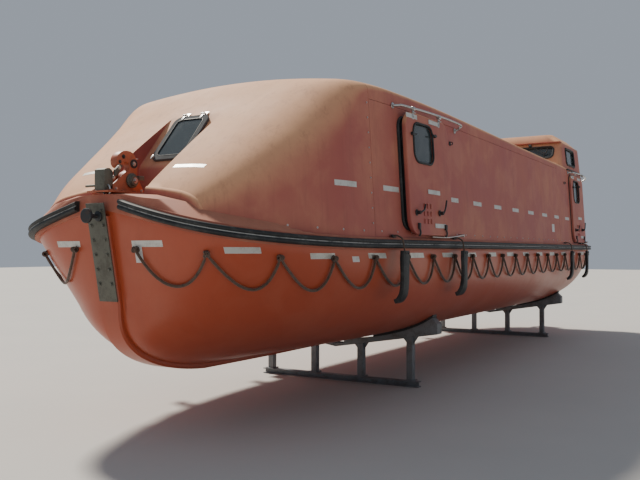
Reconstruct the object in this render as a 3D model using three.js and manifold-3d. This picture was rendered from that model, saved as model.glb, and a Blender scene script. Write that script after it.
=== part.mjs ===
// Totally enclosed ship's lifeboat of about 12 m, standing on its storage cradle.
// Millimetres. +X forward, +Y port, +Z up, origin on the ground below the middle of the boat.
// Places along the boat are given as s, the distance aft of the stem face: x = stemX - s.
import * as THREE from "three";
import { mergeVertices } from "three/addons/utils/BufferGeometryUtils.js";
import Module from "manifold-3d";

const wasm = await Module();
wasm.setup();

// Driving dimensions
const gap = 0.3; // between pieces that touch
const stemX = 6090; // stem face, forward of the origin
const hullLength = 12300;
const railHalfBreadth = 1655; // centre of the fender, amidships
const railHeight = 1670; // centre of the fender above the ground, amidships
const railRiseAtStem = 330;
const keelBottom = 500;
const keelDepth = 45;
const bowEntry = 4200; // length over which the bow fills out
const sternRun = 1900; // length over which the stern closes in
const stemHalfWidth = 145;
const keelHalfWidth = 105;
const deckHalfThickness = 60; // joint flange that carries the fender
const fenderHalfHeight = 42;
const fenderDepth = 55;

const canopyWall = 40;
const canopyInset = 48; // canopy side inboard of the fender line
const noseAft = 290; // foremost point of the canopy
const sternCanopyGap = 330; // canopy's aft end forward of the stern
const tumblehome = 0.06; // side leans in, per unit of height
const roofEdgeHeight = 3180;
const roofCamber = 150;
const bowSeam = 1940; // aft edge of the bow moulding
const sternSeam = 8900; // forward edge of the stern moulding
const sideSplit = 3020; // where side panels meet the roof panel

const alcoveHalfWidth = 300;
const alcoveFloor = 2075;
// Alcoves behind the two hooks; d is the distance from that end of the boat to the hatch's foot and top.
const alcoves = {
  bow: { foot: { d: 800, z: 2400 }, top: { d: 1195, z: 2867 }, halfWidth: 205 },
  stern: { foot: { d: 800, z: 2290 }, top: { d: 815, z: 2900 }, halfWidth: 240 },
};

const tower = {
  front: 9500,
  frontTop: 9800,
  aft: 11200,
  half: 1478,
  halfTop: 1420,
  base: 3050,
  top: 3600,
  crown: 3765,
  crownHalf: 1200,
};

const wellHalfWidth = 1330;
const wellFrom = 1250;
const wellTo = 11150;
const benchHeight = 1480;
const aisleHalfWidth = 780;
const floorHeight = 1050;

const doorWidth = 1050;
const doorHeight = 1230;
const doorThickness = 46;
const doorBottom = 1762;
const doorCorner = 170;

const propeller = { s: 11760, z: 790, radius: 250, hub: 62 };
const rudderStock = { s: 12040, radius: 30, pintle: 18 };
const skegEnd = 11520;

// Materials
const paint = (color, roughness, metalness = 0) =>
  new THREE.MeshStandardMaterial({ color, roughness, metalness });
const hullOrange = paint(0xc9401f, 0.42);
const canopyOrange = paint(0xb5503f, 0.62);
const deckOrange = paint(0xb84a35, 0.6);
const rubberBlack = paint(0x1d1e20, 0.75);
const ropeGrey = paint(0x5a4a42, 0.9);
const plateSteel = paint(0x6d6a58, 0.7, 0.4);
const darkSteel = paint(0x3a3d3e, 0.6, 0.6);
const hookOrange = paint(0xcf4a22, 0.5, 0.1);
const tintedGlass = paint(0x2c3234, 0.15);
const bronze = paint(0x8a6a3a, 0.4, 0.8);
const cradleSteel = paint(0x5d5f60, 0.7, 0.5);
const engineGrey = paint(0x4b5a55, 0.6, 0.3);
const linerWhite = paint(0xc9c4b4, 0.6);

// Geometry helpers
const rad = THREE.MathUtils.degToRad;
const at = (s, y, z) => new THREE.Vector3(stemX - s, y, z);

function toSolid(geometry) {
  const bare = new THREE.BufferGeometry();
  const source = geometry.index ? geometry.toNonIndexed() : geometry;
  bare.setAttribute("position", source.getAttribute("position"));
  const merged = mergeVertices(bare, 1e-3);
  return new wasm.Manifold(
    new wasm.Mesh({
      numProp: 3,
      vertProperties: merged.attributes.position.array,
      triVerts: new Uint32Array(merged.index.array),
    }),
  );
}

function toGeometry(solid) {
  const mesh = solid.getMesh();
  const geometry = new THREE.BufferGeometry();
  geometry.setAttribute("position", new THREE.BufferAttribute(mesh.vertProperties, mesh.numProp));
  geometry.setIndex(new THREE.BufferAttribute(mesh.triVerts, 1));
  return geometry;
}

const join = (...list) => toGeometry(list.map(toSolid).reduce((a, b) => a.add(b)));
const cut = (body, ...tools) =>
  toGeometry(tools.map(toSolid).reduce((a, b) => a.subtract(b), toSolid(body)));
const common = (a, b) => toGeometry(toSolid(a).intersect(toSolid(b)));
const moved = (geometry, x, y, z) => geometry.clone().translate(x, y, z);

// Port geometry turned into its starboard twin.
function mirrored(geometry) {
  const flat = geometry.index ? geometry.toNonIndexed() : geometry.clone();
  const p = flat.getAttribute("position");
  const out = new Float32Array(p.count * 3);
  for (let i = 0; i < p.count; i++) {
    const j = i - (i % 3) + [0, 2, 1][i % 3];
    out.set([p.getX(j), -p.getY(j), p.getZ(j)], i * 3);
  }
  return new THREE.BufferGeometry().setAttribute("position", new THREE.BufferAttribute(out, 3));
}

// Closed geometry from points and triangles, turned to face outwards.
function closedGeometry(points, faces) {
  let volume = 0;
  for (let i = 0; i < faces.length; i += 3) {
    volume += points[faces[i]].dot(points[faces[i + 1]].clone().cross(points[faces[i + 2]]));
  }
  if (volume < 0) faces.reverse();
  const geometry = new THREE.BufferGeometry();
  const numbers = points.flatMap((p) => [p.x, p.y, p.z]);
  geometry.setAttribute("position", new THREE.Float32BufferAttribute(numbers, 3));
  return geometry.setIndex(faces);
}

// Closed body through rings of equal point count, its two ends closed by fans.
// The quads to port and to starboard are split along mirrored diagonals.
function skin(rings) {
  const n = rings[0].length;
  const points = rings.flat();
  const faces = [];
  for (let i = 0; i + 1 < rings.length; i++) {
    for (let j = 0; j < n; j++) {
      const a = i * n + j;
      const b = i * n + ((j + 1) % n);
      if (points[a].y + points[b].y > 0) faces.push(a, b, b + n, a, b + n, a + n);
      else faces.push(a, b, a + n, b, b + n, a + n);
    }
  }
  for (const [ring, order] of [[0, -1], [rings.length - 1, 1]]) {
    const centre = new THREE.Vector3();
    rings[ring].forEach((p) => centre.addScaledVector(p, 1 / n));
    const c = points.push(centre) - 1;
    for (let j = 0; j < n; j++) {
      const a = ring * n + j;
      const b = ring * n + ((j + 1) % n);
      faces.push(c, order > 0 ? a : b, order > 0 ? b : a);
    }
  }
  return closedGeometry(points, faces);
}

// Box between two corners given as (s, y, z).
function block(s0, y0, z0, s1, y1, z1) {
  const box = new THREE.BoxGeometry(Math.abs(s1 - s0), Math.abs(y1 - y0), Math.abs(z1 - z0));
  return box.translate(stemX - (s0 + s1) / 2, (y0 + y1) / 2, (z0 + z1) / 2);
}

// Body between two like rings of any outline, seen from the side.
function slabBetween(first, second) {
  const flat = first.map((p) => new THREE.Vector2(p.x, p.z));
  const n = first.length;
  const faces = [];
  THREE.ShapeUtils.triangulateShape(flat, []).forEach(([a, b, c]) => faces.push(a, b, c, c + n, b + n, a + n));
  const clockwise = THREE.ShapeUtils.area(flat) < 0;
  for (let j = 0; j < n; j++) {
    const [a, b] = clockwise ? [j, (j + 1) % n] : [(j + 1) % n, j];
    faces.push(a, b, b + n, a, b + n, a + n);
  }
  return closedGeometry([...first, ...second], faces);
}

// Side-view outline of [s, z] points, swept across from y0 to y1.
function slab(outline, y0, y1) {
  const [first, second] = [y0, y1].map((y) => outline.map(([s, z]) => at(s, y, z)));
  return slabBetween(first, second);
}

// Outline of [y, z] points seen from ahead, swept along the boat from s0 to s1.
function frame(outline, s0, s1) {
  const turned = new THREE.Matrix4().makeBasis(
    new THREE.Vector3(0, 1, 0), new THREE.Vector3(0, 0, 1), new THREE.Vector3(1, 0, 0),
  );
  const shape = new THREE.Shape(outline.map(([y, z]) => new THREE.Vector2(y, z)));
  const depth = Math.abs(s1 - s0);
  return new THREE.ExtrudeGeometry(shape, { depth, bevelEnabled: false, steps: 1 })
    .applyMatrix4(turned)
    .translate(stemX - Math.max(s0, s1), 0, 0);
}

// Rounded rectangle in side view, as [s, z] points.
function roundedOutline(s0, z0, s1, z1, r, steps = 3) {
  const corners = [[s1 - r, z1 - r, 0], [s0 + r, z1 - r, 90], [s0 + r, z0 + r, 180], [s1 - r, z0 + r, 270]];
  return corners.flatMap(([cs, cz, start]) =>
    Array.from({ length: steps + 1 }, (_, i) => {
      const a = rad(start + (90 * i) / steps);
      return [cs + r * Math.cos(a), cz + r * Math.sin(a)];
    }),
  );
}

// Round bar through points.
function rod(points, radius, sides = 8, steps = points.length * 3) {
  const circle = new THREE.Shape();
  for (let i = 0; i < sides; i++) {
    const a = (2 * Math.PI * i) / sides;
    const [u, v] = [radius * Math.cos(a), radius * Math.sin(a)];
    if (i) circle.lineTo(u, v);
    else circle.moveTo(u, v);
  }
  circle.closePath();
  const path =
    points.length === 2
      ? new THREE.LineCurve3(...points)
      : new THREE.CatmullRomCurve3(points, false, "centripetal");
  return new THREE.ExtrudeGeometry(circle, {
    steps: points.length === 2 ? 1 : steps,
    bevelEnabled: false,
    extrudePath: path,
  });
}

// Cylinder along one axis, centred at (s, y, z).
function drum(axis, s, y, z, radius, length, sides = 24) {
  const g = new THREE.CylinderGeometry(radius, radius, length, sides);
  if (axis === "x") g.rotateZ(Math.PI / 2);
  if (axis === "z") g.rotateX(Math.PI / 2);
  return g.translate(stemX - s, y, z);
}

// Hull form

// Fender line rise above its midship height, at half-breadth y near the stem.
const railRise = (y) => railRiseAtStem * Math.pow(Math.max(0, (1560 - y) / (1560 - stemHalfWidth)), 1.25);

const rimInset = 14; // hull's ends inside the deck's

// Centreline profile: distance aft of the stem face at height z, for the hull inside the keel band.
function stemProfile(z) {
  const knuckle = 1140;
  const low = keelBottom + keelDepth;
  if (z >= knuckle) return Math.max(0, (170 * (2000 - z)) / 860);
  const t = Math.min(1, (knuckle - z) / (knuckle - low));
  return 170 + 1300 * (1 - Math.sqrt(Math.max(0, 1 - t ** 2.6)));
}

// Distance forward of the stern face at height z.
function sternProfile(z) {
  const low = keelBottom + keelDepth;
  const t = THREE.MathUtils.clamp((railHeight - z) / (railHeight - low), 0, 1);
  return rimInset + 2400 * (1 - Math.sqrt(1 - t ** 1.3));
}

// Midship section, from beside the keel (v = 0) to the joint flange (v = 1).
function midship(v) {
  const low = keelBottom + keelDepth;
  const high = railHeight - deckHalfThickness;
  const b = railHalfBreadth - 30;
  const curve = new THREE.CubicBezierCurve(
    new THREE.Vector2(keelHalfWidth, low),
    new THREE.Vector2(0.76 * b, low + 0.1 * (high - low)),
    new THREE.Vector2(1.0 * b, low + 0.36 * (high - low)),
    new THREE.Vector2(b, high),
  );
  return curve.getPoint(v);
}

const bowAngles = [0, 0.1, 0.45, 1.5, 4, 9, 16, 24, 33, 43, 54, 66, 78];
const midStations = [4200, 5500, 7000, 8400, 9150];
const sternAngles = [84, 74, 60, 47, 35, 25, 16, 9, 4, 1.5, 0.45, 0.1, 0];
const stations = [
  ...bowAngles.map((angle) => ({ end: "bow", angle })),
  ...midStations.map((s) => ({ end: "mid", s })),
  ...sternAngles.map((angle) => ({ end: "stern", angle })),
];

// Point of the level line of breadth half and height z at one station; full is 1 at the rail, 0 at the keel.
function levelPoint(station, half, z, full) {
  if (station.end === "mid") return { s: station.s, y: half };
  const a = rad(station.angle);
  const [fine, fade] = station.end === "bow" ? [0.85, 1.3] : [0.5, 0.6];
  const bluntness = 2 * THREE.MathUtils.lerp(fine, 0.245, Math.pow(full, fade));
  const narrow = THREE.MathUtils.lerp(keelHalfWidth, stemHalfWidth, full);
  const y = narrow + (half - narrow) * Math.pow(Math.sin(a), bluntness);
  const along = 1 - Math.pow(Math.cos(a), 0.8);
  if (station.end === "bow") {
    const start = stemProfile(z);
    return { s: start + (bowEntry - start) * along, y };
  }
  const start = sternProfile(z);
  return { s: hullLength - start - Math.max(0, sternRun - start * 0.5) * along, y };
}

// Rail: fender centreline at a station, moved outboard by out and up by up.
function railPoint(station, out = 0, up = 0) {
  const p = levelPoint(station, railHalfBreadth + out, railHeight + railRiseAtStem, 1);
  if (station.end === "mid") return { ...p, z: railHeight + up };
  const along = out * Math.cos(rad(station.angle));
  const s = station.end === "stern" ? p.s + rimInset + along : p.s - along;
  return { s, y: p.y, z: railHeight + railRise(p.y - out) + up };
}

const crownFull = 700; // deck crown holds its height this far from the ends
const crownFade = 1250;
function crownAt(s, edgeHeight) {
  const fromEnd = Math.min(s, hullLength - s);
  const level = railHeight + railRiseAtStem - edgeHeight;
  return level * (1 - THREE.MathUtils.smoothstep(fromEnd, crownFull, crownFade));
}

const hullLevels = [0, 0.1, 0.22, 0.34, 0.45, 0.55, 0.64, 0.73, 0.82, 0.91, 1];

// Point of the hull at a station and level v; the upper levels rise with the fender line.
function hullPoint(station, v) {
  const m = midship(v);
  const rise = railPoint(station, -30).z - railHeight - gap;
  const z = m.y + rise * v ** 3;
  const p = levelPoint(station, m.x, z, v);
  return { s: p.s, y: p.y, z };
}

function hullPointAtHeight(station, z) {
  let [low, high] = [0, 1];
  for (let i = 0; i < 30; i++) {
    const v = (low + high) / 2;
    if (hullPoint(station, v).z < z) low = v;
    else high = v;
  }
  return hullPoint(station, (low + high) / 2);
}

// Section of the hull; its top stands up into the deck, which cuts it off.
const topSpare = 40;
function hullRing(station) {
  const side = hullLevels.map((v) => {
    const p = hullPoint(station, v);
    return at(p.s, p.y, v < 1 ? p.z : p.z + topSpare);
  });
  const rim = side[side.length - 1];
  const crown = crownAt(stemX - rim.x, rim.z - topSpare + deckHalfThickness);
  const middle = new THREE.Vector3(rim.x, 0, rim.z + crown);
  const starboard = side.map((p) => new THREE.Vector3(p.x, -p.y, p.z)).reverse();
  return [...side, middle, ...starboard];
}

const deckInset = 12; // deck's edge inside the fender line
function deckRing(station) {
  const low = railPoint(station, -deckInset, -deckHalfThickness);
  const high = railPoint(station, -deckInset, deckHalfThickness);
  const crown = crownAt(low.s, low.z + deckHalfThickness);
  return [
    at(low.s, low.y, low.z),
    at(high.s, high.y, high.z),
    at(high.s, 0, high.z + crown),
    at(high.s, -high.y, high.z),
    at(low.s, -low.y, low.z),
    at(low.s, 0, low.z + crown),
  ];
}

const solidHull = skin(stations.map(hullRing));
const solidDeck = skin(stations.map(deckRing));

function makeHull() {
  const well = block(wellFrom, -wellHalfWidth, benchHeight, wellTo, wellHalfWidth, 2600);
  const aisle = block(wellFrom + 150, -aisleHalfWidth, floorHeight, wellTo - 250, aisleHalfWidth, 2600);
  const stockBore = drum("z", rudderStock.s, 0, 1280, rudderStock.radius + gap, 560);
  return cut(solidHull, moved(solidDeck, 0, 0, -gap), well, aisle, stockBore);
}

function makeDeck() {
  const opening = block(wellFrom, -wellHalfWidth, 1000, wellTo, wellHalfWidth, 2600);
  return cut(solidDeck, opening);
}

// Keel band from the stem head round the forefoot, deepening aft into the skeg that carries the shaft.
function makeKeel() {
  const low = keelBottom + keelDepth;
  const bandTop = 0.985;
  const centreline = (station, levels) =>
    levels.map((v) => hullPoint(station, v)).map(({ s, z }) => [s, z]);
  const bow = centreline(stations[0], [...hullLevels.slice(0, -1), bandTop].reverse());
  const run = centreline(stations[stations.length - 1], hullLevels);
  const skeg = run.filter(([s]) => s < skegEnd);
  const [last, next] = [run[skeg.length - 1], run[skeg.length]];
  const t = (skegEnd - last[0]) / (next[0] - last[0]);
  const end = [skegEnd, last[1] + t * (next[1] - last[1])];
  const line = [...bow, [6000, low], ...skeg, end];
  const rings = line.map(([s, z], i) => {
    const [a, b] = [line[Math.max(0, i - 1)], line[Math.min(line.length - 1, i + 1)]];
    const length = Math.hypot(b[0] - a[0], b[1] - a[1]);
    const normal = [(b[1] - a[1]) / length, -(b[0] - a[0]) / length];
    const inner = [s + normal[0] * gap, z + normal[1] * gap];
    const outer = s > 6000 ? [s, keelBottom] : [s + normal[0] * keelDepth, z + normal[1] * keelDepth];
    const half = s > 6000 ? 55 : 100;
    return [
      at(inner[0], half, inner[1]),
      at(outer[0], half, outer[1]),
      at(outer[0], -half, outer[1]),
      at(inner[0], -half, inner[1]),
    ];
  });
  const boss = drum("x", skegEnd - 60, 0, propeller.z, 62, 240);
  const shoe = block(skegEnd - 200, -45, keelBottom - 34, rudderStock.s + 60, 45, keelBottom + 6);
  const bore = drum("x", skegEnd, 0, propeller.z, 24 + gap, 600);
  const pintle = drum("z", rudderStock.s, 0, keelBottom, rudderStock.pintle + gap, 200);
  return cut(join(skin(rings), boss, shoe), bore, pintle);
}

// Rubbing fender: a D-shaped bar with a groove, along one side.
function makeFender() {
  const h = fenderHalfHeight;
  const section = [
    [0, -h], [fenderDepth * 0.72, -h * 0.8], [fenderDepth, -h * 0.35], [fenderDepth * 0.8, 0],
    [fenderDepth, h * 0.35], [fenderDepth * 0.72, h * 0.8], [0, h],
  ];
  const line = stations.slice(1, -1).map((station) => railPoint(station, -deckInset));
  const rings = line.map((p, i) => {
    const [a, b] = [line[Math.max(0, i - 1)], line[Math.min(line.length - 1, i + 1)]];
    const along = at(b.s, b.y, b.z).sub(at(a.s, a.y, a.z)).setZ(0).normalize();
    const out = new THREE.Vector3(along.y, -along.x, 0);
    if (out.y < 0) out.negate();
    if (i === 0) out.set(1, 0, 0);
    if (i === line.length - 1) out.set(-1, 0, 0);
    return section.map(([d, up]) => at(p.s, p.y, p.z + up).addScaledVector(out, d + 2 * gap));
  });
  return skin(rings);
}

// Canopy form

// Fender centreline at s: half-breadth and height.
const railLine = stations.map((station) => railPoint(station));
function railAt(s) {
  const i = Math.max(1, railLine.findIndex((p) => p.s >= s));
  const [a, b] = [railLine[i - 1], railLine[i]];
  const t = (s - a.s) / (b.s - a.s);
  return { half: a.y + (b.y - a.y) * t, z: a.z + (b.z - a.z) * t };
}

// Half-breadth of the canopy's foot at s; the ledge outside it is wider near the ends.
const ledgeTaper = 1500;
const ledgeExtra = 55;
function canopyFoot(s) {
  const nearEnd = Math.max(0, 1 - Math.min(s, hullLength - s) / ledgeTaper);
  return railAt(s).half - canopyInset - ledgeExtra * nearEnd;
}

// Columns: s, height of the roof on the centreline, shoulder radius, camber.
const roofTable = [
  [noseAft, 2176, 60, 10],
  [520, 2366, 230, 20],
  [800, 2579, 380, 30],
  [1195, 2870, 460, 40],
  [1450, 3062, 400, 60],
  [1650, 3205, 260, 90],
  [1800, 3285, 130, 120],
  [bowSeam, 3318, 70, 145],
  [2300, roofEdgeHeight + roofCamber, 50, roofCamber],
  [sternSeam, roofEdgeHeight + roofCamber - 55, 60, roofCamber],
  [11250, roofEdgeHeight + roofCamber - 65, 70, roofCamber],
  [11550, 2950, 220, 150],
  [11800, 2450, 200, 120],
  [hullLength - sternCanopyGap, 2150, 60, 17],
];

function roofAt(s) {
  const i = Math.max(0, roofTable.findIndex(([place]) => place >= s - 1e-6) - 1);
  const [s0, ...before] = roofTable[i];
  const [s1, ...after] = roofTable[i + 1];
  const t = THREE.MathUtils.clamp((s - s0) / (s1 - s0), 0, 1);
  const [z, r, camber] = before.map((value, k) => value + t * (after[k] - value));
  return { z, r, camber };
}

const shoulderSteps = 5;

// Cross section of the canopy at s, drawn in by inset all round and down to foot height.
function canopyRing(s, inset, place = s) {
  const { z: top, r: shoulder, camber } = roofAt(s);
  const low = railHeight + 20;
  const half = canopyFoot(s) - inset;
  const centre = top - inset;
  const edgeZ = centre - camber;
  const edgeY = half - tumblehome * (edgeZ - low);
  const roofPoint = (y) => new THREE.Vector2(y, centre - camber * (y / edgeY) ** 2);
  const r = Math.min(shoulder, (edgeZ - low) * 0.8);
  const from = new THREE.Vector2(edgeY + tumblehome * r, edgeZ - r);
  const corner = new THREE.Vector2(edgeY, edgeZ);
  const to = roofPoint(edgeY - Math.min(r * 1.5, half * 0.6));
  const arc = new THREE.QuadraticBezierCurve(from, corner, to).getPoints(shoulderSteps);
  const side = [
    new THREE.Vector2(half, low),
    ...arc,
    roofPoint(to.x * 0.55),
  ].map((p) => at(place, p.x, p.y));
  return [...side, at(place, 0, centre), ...side.map((p) => p.clone().setY(-p.y)).reverse()];
}

const canopyStations = roofTable.map(([s]) => s);
const extraStations = [3400, 7000, 10200, 10900, 11400, 11680];
const allCanopyStations = [...canopyStations, ...extraStations].sort((a, b) => a - b);

const canopyOuter = skin(allCanopyStations.map((s) => canopyRing(s, 0)));
const canopyInner = skin(
  allCanopyStations
    .filter((s) => s > noseAft + 50 && s < hullLength - sternCanopyGap - 50)
    .map((s) => canopyRing(s, canopyWall, s)),
);
const belowCanopy = join(moved(solidDeck, 0, 0, gap), moved(solidDeck, 0, 0, -deckHalfThickness), solidHull);
const canopyShell = cut(canopyOuter, canopyInner, belowCanopy);

// Distance d from one end of the boat, as s.
const fromEnd = (end, d) => (end === "bow" ? d : hullLength - d);

// Alcove behind a hook: level floor, back wall that leans with the hatch, open to the end of the boat.
function alcoveOutline(end, grow) {
  const { foot, top } = alcoves[end];
  const lean = (top.d - foot.d) / (top.z - foot.z);
  return [
    [-100, alcoveFloor - grow],
    [foot.d - lean * 18 - 30 + grow, alcoveFloor - grow],
    [foot.d - lean * 18 - 20 + grow, foot.z - 60],
    [foot.d - lean * 18 + grow, foot.z - 18],
    [top.d + lean * 700 + grow, top.z + 700],
    [-100, top.z + 700],
  ].map(([d, z]) => [fromEnd(end, d), z]);
}

const between = (s0, s1) => block(s0, -2000, 1500, s1, 2000, 4200);

const liningWall = 30;

// Section of the canopy shell with its alcove lined and the hatchway cut through the back wall.
function withAlcove(section, end) {
  const { halfWidth } = alcoves[end];
  const alcove = slab(alcoveOutline(end, 0), -alcoveHalfWidth, alcoveHalfWidth);
  const outerHalf = alcoveHalfWidth + liningWall;
  const around = slab(alcoveOutline(end, liningWall), -outerHalf, outerHalf);
  const lining = cut(common(around, canopyOuter), belowCanopy);
  const hole = hatchPlate(end, 45, halfWidth - 45, -120, 60);
  return join(cut(join(section, lining), alcove, hole), ...hatchLugs(end));
}

// Place on an alcove's back wall: u runs down from the hatch's head, y across, w out of the wall.
function backWall(end) {
  const { foot, top } = alcoves[end];
  const head = at(fromEnd(end, top.d), 0, top.z);
  const down = at(fromEnd(end, foot.d), 0, foot.z).sub(head);
  const length = down.length();
  down.normalize();
  const out = new THREE.Vector3(0, 1, 0).cross(down);
  if ((end === "bow" ? 1 : -1) * out.x < 0) out.negate();
  const place = (u, y, w) =>
    head.clone().addScaledVector(down, u).addScaledVector(out, w).add(new THREE.Vector3(0, y, 0));
  return { length, place };
}

// Rounded plate on the back wall: margin is kept free at head and foot, and it fills w from low to high.
function hatchPlate(end, margin, half, low, high, r = 70) {
  const { length, place } = backWall(end);
  const outline = roundedOutline(-half, margin, half, length - margin, r);
  return skin([low, high].map((w) => outline.map(([y, u]) => place(u, y, w))));
}

const hatchThickness = 28;
const hatchHinge = { rise: 30, radius: 10, places: [-110, 110], half: 12, lug: 10 };

// Hinge pin line of a hatch, along the head of the hatchway.
const hatchPin = (end) => backWall(end).place(0, 0, hatchHinge.rise);

// Hatch: frame with a strap and knuckle at each hinge, and its pane.
function makeHatch(end) {
  const { halfWidth } = alcoves[end];
  const { place } = backWall(end);
  const { rise, radius, places, half } = hatchHinge;
  const pin = hatchPin(end);
  const plate = hatchPlate(end, 12, halfWidth, gap, gap + hatchThickness, 80);
  const glazing = hatchPlate(end, 62, halfWidth - 50, -20, 60, 50);
  const pane = hatchPlate(end, 62 + 2 * gap, halfWidth - 50 - 2 * gap, 12, 12 + paneThickness, 50);
  const straps = places.flatMap((y) => {
    const ring = (u) => [[y - half, rise - 6], [y + half, rise - 6], [y + half, rise + 6], [y - half, rise + 6]]
      .map(([across, out]) => place(u, across, out));
    return [drum("y", stemX - pin.x, y, pin.z, radius, 2 * half, 8), skin([ring(4), ring(58)])];
  });
  return { frame: cut(join(plate, ...straps), glazing), pane };
}

// Fixed half of a hatch's hinges: a lug on each side of every knuckle.
function hatchLugs(end) {
  const { place } = backWall(end);
  const { rise, radius, places, half, lug } = hatchHinge;
  const pin = hatchPin(end);
  return places.flatMap((y) => [-1, 1].flatMap((side) => {
    const middle = y + side * (half + 1 + lug / 2);
    const ring = (w) => [[-radius, -lug / 2], [radius, -lug / 2], [radius, lug / 2], [-radius, lug / 2]]
      .map(([u, across]) => place(u * 0.8, middle + across, w));
    return [drum("y", stemX - pin.x, middle, pin.z, radius, lug, 8), skin([ring(-25), ring(rise)])];
  }));
}

const makeCanopyBow = () => withAlcove(common(canopyShell, between(0, bowSeam - gap / 2)), "bow");

// Outline of a side door of the given forward edge, drawn in by inset.
function doorOutline(s, inset) {
  const [low, high] = [doorBottom + inset, doorBottom + doorHeight - inset];
  return roundedOutline(s + inset, low, s + doorWidth - inset, high, doorCorner - inset);
}

// Columns: forward edge of the doorway, how far the door stands aft of its doorway, side (1 port).
const doors = [
  { name: "forward_port", doorway: 2400, slid: 70, side: 1 },
  { name: "forward_starboard", doorway: 2400, slid: 0, side: -1 },
  { name: "aft_port", doorway: 9780, slid: 0, side: 1 },
  { name: "aft_starboard", doorway: 9780, slid: 0, side: -1 },
];
const doorwayInset = 70;

function doorwayCutter(door) {
  const [y0, y1] = door.side > 0 ? [1200, 1900] : [-1900, -1200];
  return slab(doorOutline(door.doorway, doorwayInset), y0, y1);
}

const sideBox = (side) =>
  side > 0
    ? block(0, 600, 1500, hullLength, 2000, sideSplit - gap / 2)
    : block(0, -2000, 1500, hullLength, -600, sideSplit - gap / 2);

function makeCanopySide(side) {
  const section = common(canopyShell, between(bowSeam + gap / 2, sternSeam - gap / 2));
  const holes = doors.filter((d) => d.side === side).map(doorwayCutter);
  return cut(common(section, sideBox(side)), ...holes);
}

function makeCanopyRoof() {
  const section = common(canopyShell, between(bowSeam + gap / 2, sternSeam - gap / 2));
  const upper = block(0, -2000, sideSplit + gap / 2, hullLength, 2000, 4000);
  return common(section, upper);
}

function makeCanopyStern() {
  const section = common(canopyShell, between(sternSeam + gap / 2, hullLength));
  const hatchway = block(tower.front + 360, -1000, 2900, tower.aft - 160, 1000, 3700);
  const holes = doors.map(doorwayCutter);
  return cut(withAlcove(section, "stern"), hatchway, ...holes);
}

// Steering position: a tapered hollow house on the stern moulding.
function towerBody(inset) {
  const t = tower;
  const foot = t.base - (inset ? 200 : 0);
  const ring = (z, front, half) => {
    const chamfer = 90;
    return [
      at(front + inset, half - inset - chamfer, z),
      at(front + inset + chamfer, half - inset, z),
      at(t.aft - inset - chamfer, half - inset, z),
      at(t.aft - inset, half - inset - chamfer, z),
      at(t.aft - inset, -half + inset + chamfer, z),
      at(t.aft - inset - chamfer, -half + inset, z),
      at(front + inset + chamfer, -half + inset, z),
      at(front + inset, -half + inset + chamfer, z),
    ];
  };
  const lean = (z) => (z - t.base) / (t.top - t.base);
  const frontAt = (z) => t.front + (t.frontTop - t.front) * lean(z);
  const halfAt = (z) => t.half + (t.halfTop - t.half) * lean(z);
  const top = t.top - inset;
  const crown = ring(t.crown - inset, frontAt(top) + 140, t.crownHalf);
  return skin([ring(foot, frontAt(foot), halfAt(foot)), ring(top, frontAt(top), halfAt(top)), crown]);
}

// Tower windows: y or s is the opening's reach across or along, low and high its heights.
const towerWindows = {
  front: { y: 1290, low: 3300, high: 3510, corner: 70, from: 9300, to: 10050 },
  aft: { y: 700, low: 3300, high: 3490, corner: 60, from: 10900, to: 11300 },
  side: { s0: 9980, s1: 10640, low: 3200, high: 3500, corner: 60 },
};
const towerHatch = { s: 10700, radius: 330, rim: 45, hinge: 12 };
const paneThickness = 8;

// Opening of a tower window that faces ahead or astern, drawn in by inset.
function endWindow({ y, low, high, corner, from, to }, inset) {
  const outline = roundedOutline(-y + inset, low + inset, y - inset, high - inset, corner);
  return skin([from, to].map((s) => outline.map(([across, z]) => at(s, across, z))));
}

// Opening of the tower's side windows, drawn in by inset, from y0 to y1.
function sideWindow(inset, y0, y1) {
  const { s0, s1, low, high, corner } = towerWindows.side;
  return slab(roundedOutline(s0 + inset, low + inset, s1 - inset, high - inset, corner), y0, y1);
}

function makeTower() {
  const { s, radius, rim, hinge } = towerHatch;
  const hatchway = drum("z", s, 0, tower.crown, radius - rim, 400, 28);
  const shell = cut(
    towerBody(0), towerBody(canopyWall), moved(canopyOuter, 0, 0, gap), sideWindow(0, -2000, 2000),
    endWindow(towerWindows.front, 0), endWindow(towerWindows.aft, 0), hatchway,
  );
  const pin = s - radius - hinge;
  const lugs = [-94, 94].flatMap((y) => [
    block(pin - 14, y - 10, tower.crown - 15, pin + 14, y + 10, tower.crown + 16),
    drum("y", pin, y, tower.crown + 16, 14, 20, 12),
  ]);
  return join(shell, ...lugs);
}

// Pane that fills a window of the tower, cut to the wall's slope.
function towerPane(opening) {
  const depth = 14;
  return cut(common(towerBody(depth), opening), towerBody(depth + paneThickness));
}

// Round lid on the tower roof, hinged at its forward edge.
function makeTowerHatch() {
  const { s, radius, hinge } = towerHatch;
  const z = tower.crown + gap;
  const profile = [[0, 0], [radius, 0], [radius, 30], [radius - 60, 58], [0, 72]];
  const lid = new THREE.LatheGeometry(profile.map(([x, y]) => new THREE.Vector2(x, y)), 28)
    .rotateX(Math.PI / 2)
    .translate(stemX - s, 0, z);
  const pin = s - radius - hinge;
  return join(lid, drum("y", pin, 0, z + 16, 14, 166, 12), block(pin, -60, z + 4, pin + 54, 60, z + 26));
}

// Side door: a panel parallel to the leaning canopy side, with window, levers and guide brackets.
function sideFaceY(s, z) {
  const low = railHeight + 20;
  return canopyFoot(s) - tumblehome * (z - low);
}

function tilted(outline, inner, outer) {
  const [first, second] = [inner, outer].map((off) =>
    outline.map(([s, z]) => at(s, sideFaceY(s, z) + off, z)));
  return slabBetween(first, second);
}

const doorWindow = { s0: 150, z0: 2490, s1: 620, z1: 2900, corner: 110 };
const slidDoorStand = 42; // clear of the wall when slid aft
const rail = { above: 34, off: 92, radius: 12 };
const hangers = [170, 800]; // from a door's forward edge

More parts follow.
